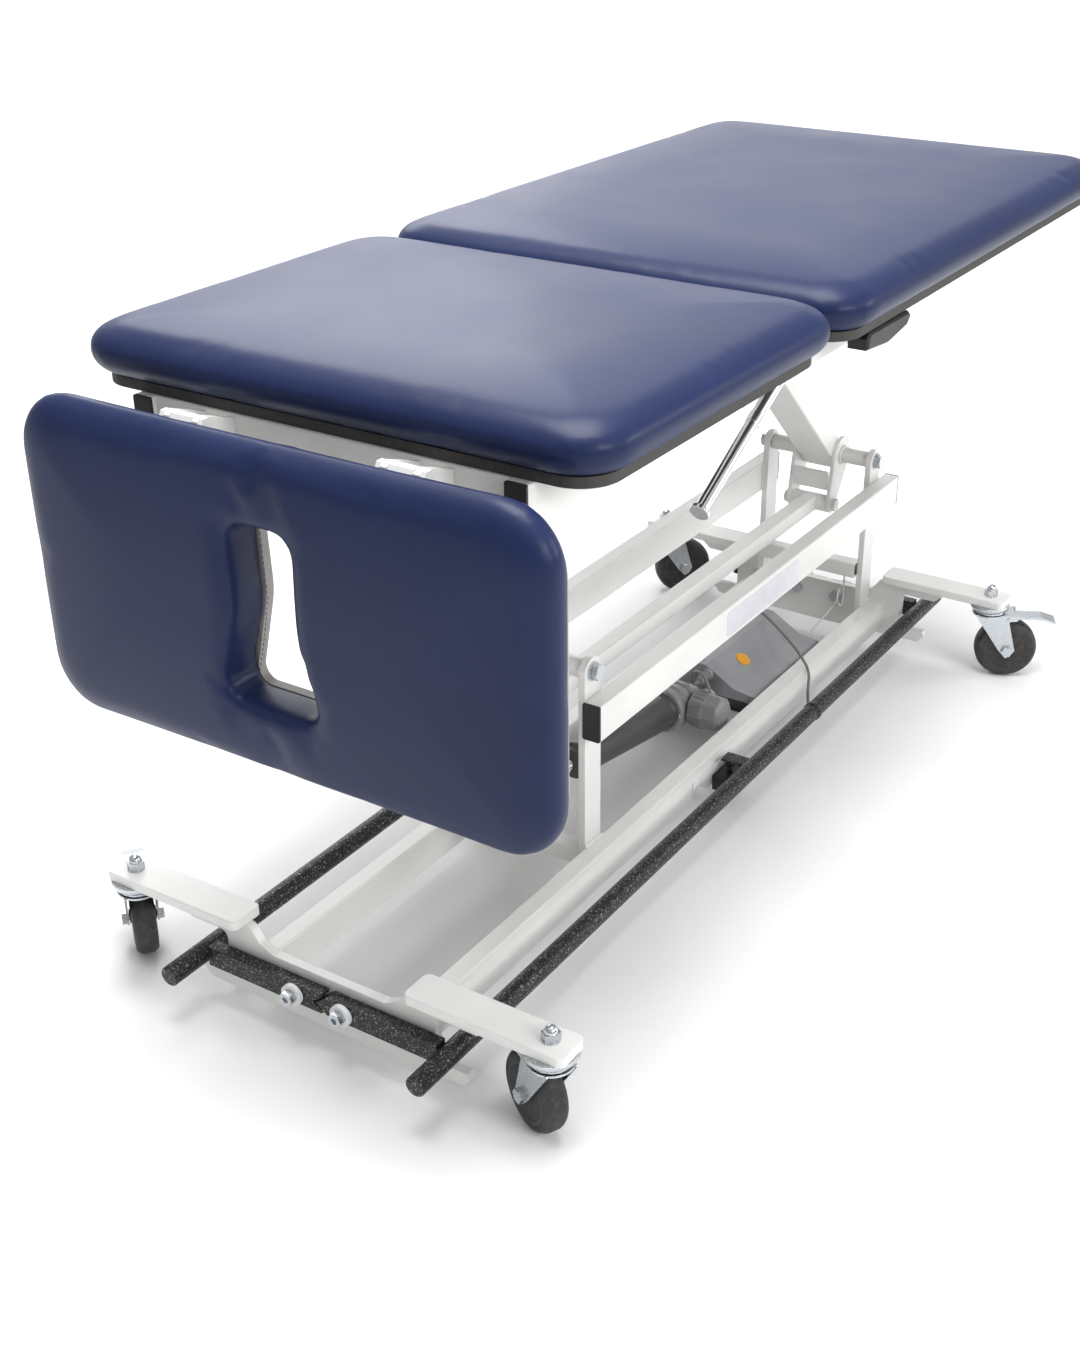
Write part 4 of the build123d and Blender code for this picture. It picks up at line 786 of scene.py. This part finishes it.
class COUCH_OT_box_details(bpy.types.Operator):
    """Put the plain round sticker, the lid's screws and the blank rail label in place"""

    bl_idname = "couch.box_details"
    bl_label = "Box and label"

    def execute(self, context):
        self.sticker_and_screws()
        self.label()
        return {"FINISHED"}

    def sticker_and_screws(self):
        """Plain round sticker on the lid's slope, and a screw in each corner of the lid."""
        low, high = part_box("control_box_lid")
        slope = Vector((0, -0.504, 0.864)).normalized()
        spot = Vector((low.x + 0.074, -0.030, 0.0970)) + slope * 0.0002
        disc = rounded([(0, 0), (0, 0.0125), (0.0006, 0.0122), (0.0008, 0.008), (0.0009, 0)], 0.0003, 2)
        lathe_piece("round_sticker", disc, spot, slope, 48, "dot", "base")
        head = rounded([(0, 0), (0, 0.0042), (0.0012, 0.0040), (0.0022, 0.0026), (0.0024, 0.0017),
                        (0.0012, 0.0016), (0.0012, 0)], 0.0004, 2)
        places = [(along, across) for along in LID_SCREWS_ALONG for across in LID_SCREWS_ACROSS]
        for number, (along, across) in enumerate(places):
            place = Vector((low.x + along, across, high.z + 0.0001))
            lathe_piece(f"lid_screw_{number}", head, place, (0, 0, 1), 20, "zinc", "base")

    def label(self):
        """Thin blank label with rounded corners on the near upper rail."""
        rail_low, rail_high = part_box("upper_side_rails")
        x0, x1 = rail_low.x + LABEL_START, rail_low.x + LABEL_END
        z0, z1 = rail_low.z + 0.006, rail_high.z - 0.008
        corners = []
        for centre_x, centre_z, turn in (
            (x1 - LABEL_CORNER, z1 - LABEL_CORNER, 0), (x0 + LABEL_CORNER, z1 - LABEL_CORNER, 90),
            (x0 + LABEL_CORNER, z0 + LABEL_CORNER, 180), (x1 - LABEL_CORNER, z0 + LABEL_CORNER, 270),
        ):
            for step in range(5):
                angle = math.radians(turn + step * 22.5)
                corners.append((centre_x + LABEL_CORNER * math.cos(angle),
                                centre_z + LABEL_CORNER * math.sin(angle)))
        builder = bmesh.new()
        outer = [builder.verts.new((x, rail_low.y - 0.0003, z)) for x, z in corners]
        inner = [builder.verts.new((x, rail_low.y - 0.00002, z)) for x, z in corners]
        builder.faces.new(outer)
        builder.faces.new(inner[::-1])
        count = len(corners)
        for k in range(count):
            builder.faces.new((outer[k], inner[k], inner[(k + 1) % count], outer[(k + 1) % count]))
        bmesh.ops.recalc_face_normals(builder, faces=builder.faces)
        mesh = bpy.data.meshes.new("rail_label")
        builder.to_mesh(mesh)
        builder.free()
        add_piece("rail_label", mesh, "label", "base", smooth=False)


class COUCH_OT_switch(bpy.types.Operator):
    """Make the ribbed boot of the foot switch and the ribbed guard of the motor's plug"""

    bl_idname = "couch.switch"
    bl_label = "Foot switch and plug"

    def execute(self, context):
        self.boot()
        self.plug()
        return {"FINISHED"}

    def boot(self):
        """Rubber bellows round the foot switch's plunger."""
        low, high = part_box("switch_plunger")
        middle = (low + high) / 2
        outline = [(0, 0.0042)]
        for ring in range(4):
            base = 0.0012 * ring
            taper = 0.0004 * ring
            outline += [(base, 0.0068 - taper), (base + 0.0007, 0.0079 - taper),
                        (base + 0.0012, 0.0062 - taper)]
        outline += [(0.0050, 0.0042)]
        place = (middle.x, middle.y, high.z - 0.0080)
        lathe_piece("switch_boot", outline, place, (0, 0, 1), 32, "black", "plunger")

    def plug(self):
        """Ribbed bend guard on the plug of the motor's cable."""
        low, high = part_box("motor_plug")
        middle = (low + high) / 2
        reach = min(high.y - low.y, high.z - low.z) / 2
        length = high.x - low.x
        outline = [(0, 0.0030), (0, reach * 0.62)]
        for ring in range(PLUG_RIBS):
            base = length * (0.03 + 0.70 * ring / PLUG_RIBS)
            wide = reach * (0.66 + 0.20 * ring / PLUG_RIBS)
            outline += [(base, wide), (base + length * 0.055, wide), (base + length * 0.056, wide * 0.84),
                        (base + length * 0.098, wide * 0.84)]
        outline += [(length * 0.76, reach * 0.97), (length, reach * 0.97), (length, 0.0030)]
        place = (low.x, middle.y, middle.z)
        piece = lathe_piece("plug_guard", outline, place, (1, 0, 0), 40, "grey", "base")
        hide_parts("motor_plug")


class COUCH_OT_welds(bpy.types.Operator):
    """Lay weld beads where the frame's pieces meet"""

    bl_idname = "couch.welds"
    bl_label = "Welds"

    def execute(self, context):
        step = context.scene.couch_sizes.weld_step
        tree = repeat_tree("weld_bead", "coat")
        values = {"Spacing": step, "Length": step * 1.9, "Width": 0.0062, "Height": 0.0046}
        paths = self.post_paths() + self.tube_paths()
        run_tree(tree, paths, values, "base_welds", "coat", "base")
        for body, pivot in (("rear_crank", "lift"), ("front_crank", "lift_front")):
            centre = Vector(joint_named(pivot)["pos_m"])
            rings = [(ring_points((centre.x, side * HUB_WELD_Y, centre.z), (0, 1, 0), HUB_WELD_RADIUS), True)
                     for side in (-1, 1)]
            run_tree(tree, rings, values, f"{body}_welds", "coat", body)
        return {"FINISHED"}

    def post_paths(self):
        """Beads up both edges of each pivot post and along its foot."""
        post_y = abs(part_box("pivot_posts")[0].y)
        rail_low, rail_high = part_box("upper_side_rails")
        tube_low, tube_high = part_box("lower_side_tubes")
        paths = []
        for pivot in ("lift", "lift_front"):
            x = joint_named(pivot)["pos_m"][0]
            for side in (-1, 1):
                y = side * (post_y + 0.0006) - side * 0.0010
                for at in (x - POST_WELD_X, x + POST_WELD_X):
                    paths.append(([(at, y, rail_low.z + 0.004), (at, y, rail_high.z - 0.004)], False))
                    paths.append(([(at, y, tube_low.z + 0.006), (at, y, tube_high.z - 0.004)], False))
                foot = (side * post_y + side * 0.0008, tube_high.z + 0.0004)
                paths.append(([(x - 0.018, *foot), (x + 0.018, *foot)], False))
        return paths

    def tube_paths(self):
        """Beads round both ends of the lower side tubes."""
        tube_low, tube_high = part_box("lower_side_tubes")
        paths = []
        for end in (-1, 1):
            x = end * (tube_high.x - tube_low.x) / 2 + (tube_high.x + tube_low.x) / 2 - end * 0.0006
            for side in (-1, 1):
                inner = side * (abs(tube_low.y) - TUBE_WIDE)
                outer = side * abs(tube_low.y)
                paths.append(([(x, inner, tube_low.z + 0.003), (x, inner, tube_high.z),
                               (x, outer, tube_high.z), (x, outer, tube_low.z + 0.003)], False))
        return paths


class COUCH_OT_stitches(bpy.types.Operator):
    """Sew the line of stitches round the face slot"""

    bl_idname = "couch.stitches"
    bl_label = "Face slot stitches"

    def execute(self, context):
        sizes = context.scene.couch_sizes
        opening = next(o for o in frame["record"]["physics"]["openings"] if o["name"] == "face_slot")
        low, high = Vector(opening["box_m"][0]), Vector(opening["box_m"][1])
        tree = repeat_tree("slot_stitch", "thread")
        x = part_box("head_board")[0].x - 0.004
        top, bottom = high.z + 0.010, low.z - 0.012
        half = [(top, 0.0), (top, 0.024), (top - 0.016, 0.0395), (top - 0.060, 0.0385), (top - 0.100, 0.0372),
                (top - 0.150, 0.0480), (bottom + 0.014, 0.0600), (bottom + 0.003, 0.0540), (bottom, 0.040),
                (bottom, 0.0)]
        loop = [(x, y, z) for z, y in half] + [(x, -y, z) for z, y in reversed(half[1:-1])]
        values = {"Spacing": sizes.stitch_gap, "Length": 0.0046, "Width": 0.0011, "Height": 0.0011}
        run_tree(tree, [(loop, True)], values, "slot_stitches", "thread", "head_section")
        return {"FINISHED"}


class COUCH_OT_stage(bpy.types.Operator):
    """Set the pale floor, the soft lights and the camera"""

    bl_idname = "couch.stage"
    bl_label = "Stage"

    def execute(self, context):
        scene = context.scene
        self.floor(scene)
        self.lights(scene)
        scene.view_settings.view_transform = "Standard"
        self.world(scene)
        self.camera(scene)
        return {"FINISHED"}

    def floor(self, scene):
        """Floor that sweeps up into a wall behind the couch."""
        rows = [(-FLOOR_HALF, 0.0), (FLOOR_BACK, 0.0)]
        for step in range(1, 13):
            angle = math.radians(90 * step / 12)
            rows.append((FLOOR_BACK + SWEEP * math.sin(angle), SWEEP - SWEEP * math.cos(angle)))
        rows.append((FLOOR_BACK + SWEEP, 9.0))
        turn = Matrix.Rotation(math.radians(-57.5), 3, "Z")
        verts = [turn @ Vector((across, distance, height))
                 for distance, height in rows for across in (-FLOOR_HALF, FLOOR_HALF)]
        faces = [(2 * k, 2 * k + 1, 2 * k + 3, 2 * k + 2) for k in range(len(rows) - 1)]
        mesh = bpy.data.meshes.new("floor")
        mesh.from_pydata(verts, [], faces)
        floor = bpy.data.objects.new("floor", mesh)
        scene.collection.objects.link(floor)
        paint, tree, shader = new_material("pale_floor")
        patch = noise(tree, object_place(tree), 3, 2)
        pale = ramp(tree, patch, 0.3, 0.7, (0.80, 0.80, 0.80, 1), (0.84, 0.84, 0.84, 1))
        tree.links.new(pale, shader.inputs["Base Color"])
        shader.inputs["Roughness"].default_value = 0.9
        mesh.materials.append(paint)

    def lights(self, scene):
        """Large soft lamps: name, place, aim, two sizes in metres and power in watts."""
        for label, place, target, size_x, size_y, power in (
            ("overhead", (-0.1, 0.1, 4.0), (0.0, 0, 0.5), 3.0, 2.0, 225),
            ("key", (-1.4, -3.9, 2.4), (0, 0, 0.3), 2.0, 1.2, 76),
            ("back", (2.3, 3.0, 2.5), (-0.4, 0, 0.8), 2.2, 1.1, 36),
            ("side", (2.4, -3.4, 1.8), (0.2, 0, 0.3), 2.0, 1.2, 46),
            ("backdrop", (5.2, 3.3, 4.2), (7.4, 4.7, 0.6), 6.0, 1.5, 300),
        ):
            data = bpy.data.lights.new(label, "AREA")
            data.shape = "RECTANGLE"
            data.size = size_x
            data.size_y = size_y
            data.energy = power
            lamp = bpy.data.objects.new(label, data)
            lamp.location = place
            aim = Vector(target) - Vector(place)
            lamp.rotation_euler = aim.to_track_quat("-Z", "Y").to_euler()
            lamp.visible_camera = False
            scene.collection.objects.link(lamp)

    def world(self, scene):
        """White surroundings, dimmer low down than overhead."""
        world = bpy.data.worlds.new("studio")
        world.use_nodes = True
        sky = world.node_tree
        coords = sky.nodes.new("ShaderNodeTexCoord")
        parts = sky.nodes.new("ShaderNodeSeparateXYZ")
        sky.links.new(coords.outputs["Generated"], parts.inputs["Vector"])
        strength = remap(sky, parts.outputs["Z"], 0.0, 0.9, 0.24, 0.72)
        sky.links.new(strength, sky.nodes["Background"].inputs["Strength"])
        sky.nodes["Background"].inputs["Color"].default_value = (1, 1, 1, 1)
        scene.world = world

    def camera(self, scene):
        """Long lens from the head end's near corner, above the pads."""
        lens = bpy.data.cameras.new("camera")
        lens.sensor_fit = "AUTO"
        lens.sensor_width = SENSOR_MM
        lens.lens = SENSOR_MM * 1719.754 / 1350.0
        lens.shift_x = -0.02515
        lens.shift_y = 0.00774
        lens.clip_start = 0.05
        camera = bpy.data.objects.new("camera", lens)
        right = Vector((0.53601065, -0.84420256, -0.00382314))
        up = Vector((0.39809937, 0.24876706, 0.88296764))
        aimed = Matrix((right, up, right.cross(up))).transposed().to_4x4()
        camera.matrix_world = Matrix.Translation((-1.911823, -1.093390, 1.323729)) @ aimed
        scene.collection.objects.link(camera)
        scene.camera = camera


class COUCH_PT_sidebar(bpy.types.Panel):
    """Lists the couch's sizes, colours and operators"""

    bl_idname = "COUCH_PT_sidebar"
    bl_label = "Examination couch"
    bl_space_type = "VIEW_3D"
    bl_region_type = "UI"
    bl_category = "Couch"

    def draw(self, context):
        for group in (context.scene.couch_colours, context.scene.couch_sizes):
            for name in group.bl_rna.properties.keys():
                if name not in ("rna_type", "name"):
                    self.layout.prop(group, name)
        for operator in OPERATORS:
            self.layout.operator(operator.bl_idname)


OPERATORS = (COUCH_OT_stage, COUCH_OT_finishes, COUCH_OT_pads, COUCH_OT_casters, COUCH_OT_actuator,
             COUCH_OT_box_details, COUCH_OT_switch, COUCH_OT_welds, COUCH_OT_stitches)
CLASSES = (CouchColours, CouchSizes, *OPERATORS, COUCH_PT_sidebar)


def register():
    for item in CLASSES:
        bpy.utils.register_class(item)
    bpy.types.Scene.couch_colours = bpy.props.PointerProperty(type=CouchColours)
    bpy.types.Scene.couch_sizes = bpy.props.PointerProperty(type=CouchSizes)


def unregister():
    del bpy.types.Scene.couch_sizes
    del bpy.types.Scene.couch_colours
    for item in reversed(CLASSES):
        bpy.utils.unregister_class(item)


def main():
    register()
    bpy.ops.couch.stage()
    bpy.ops.couch.finishes()
    bpy.ops.couch.pads()
    bpy.ops.couch.casters()
    bpy.ops.couch.actuator()
    bpy.ops.couch.box_details()
    bpy.ops.couch.switch()
    bpy.ops.couch.welds()
    bpy.ops.couch.stitches()


if __name__ == "__main__":
    main()
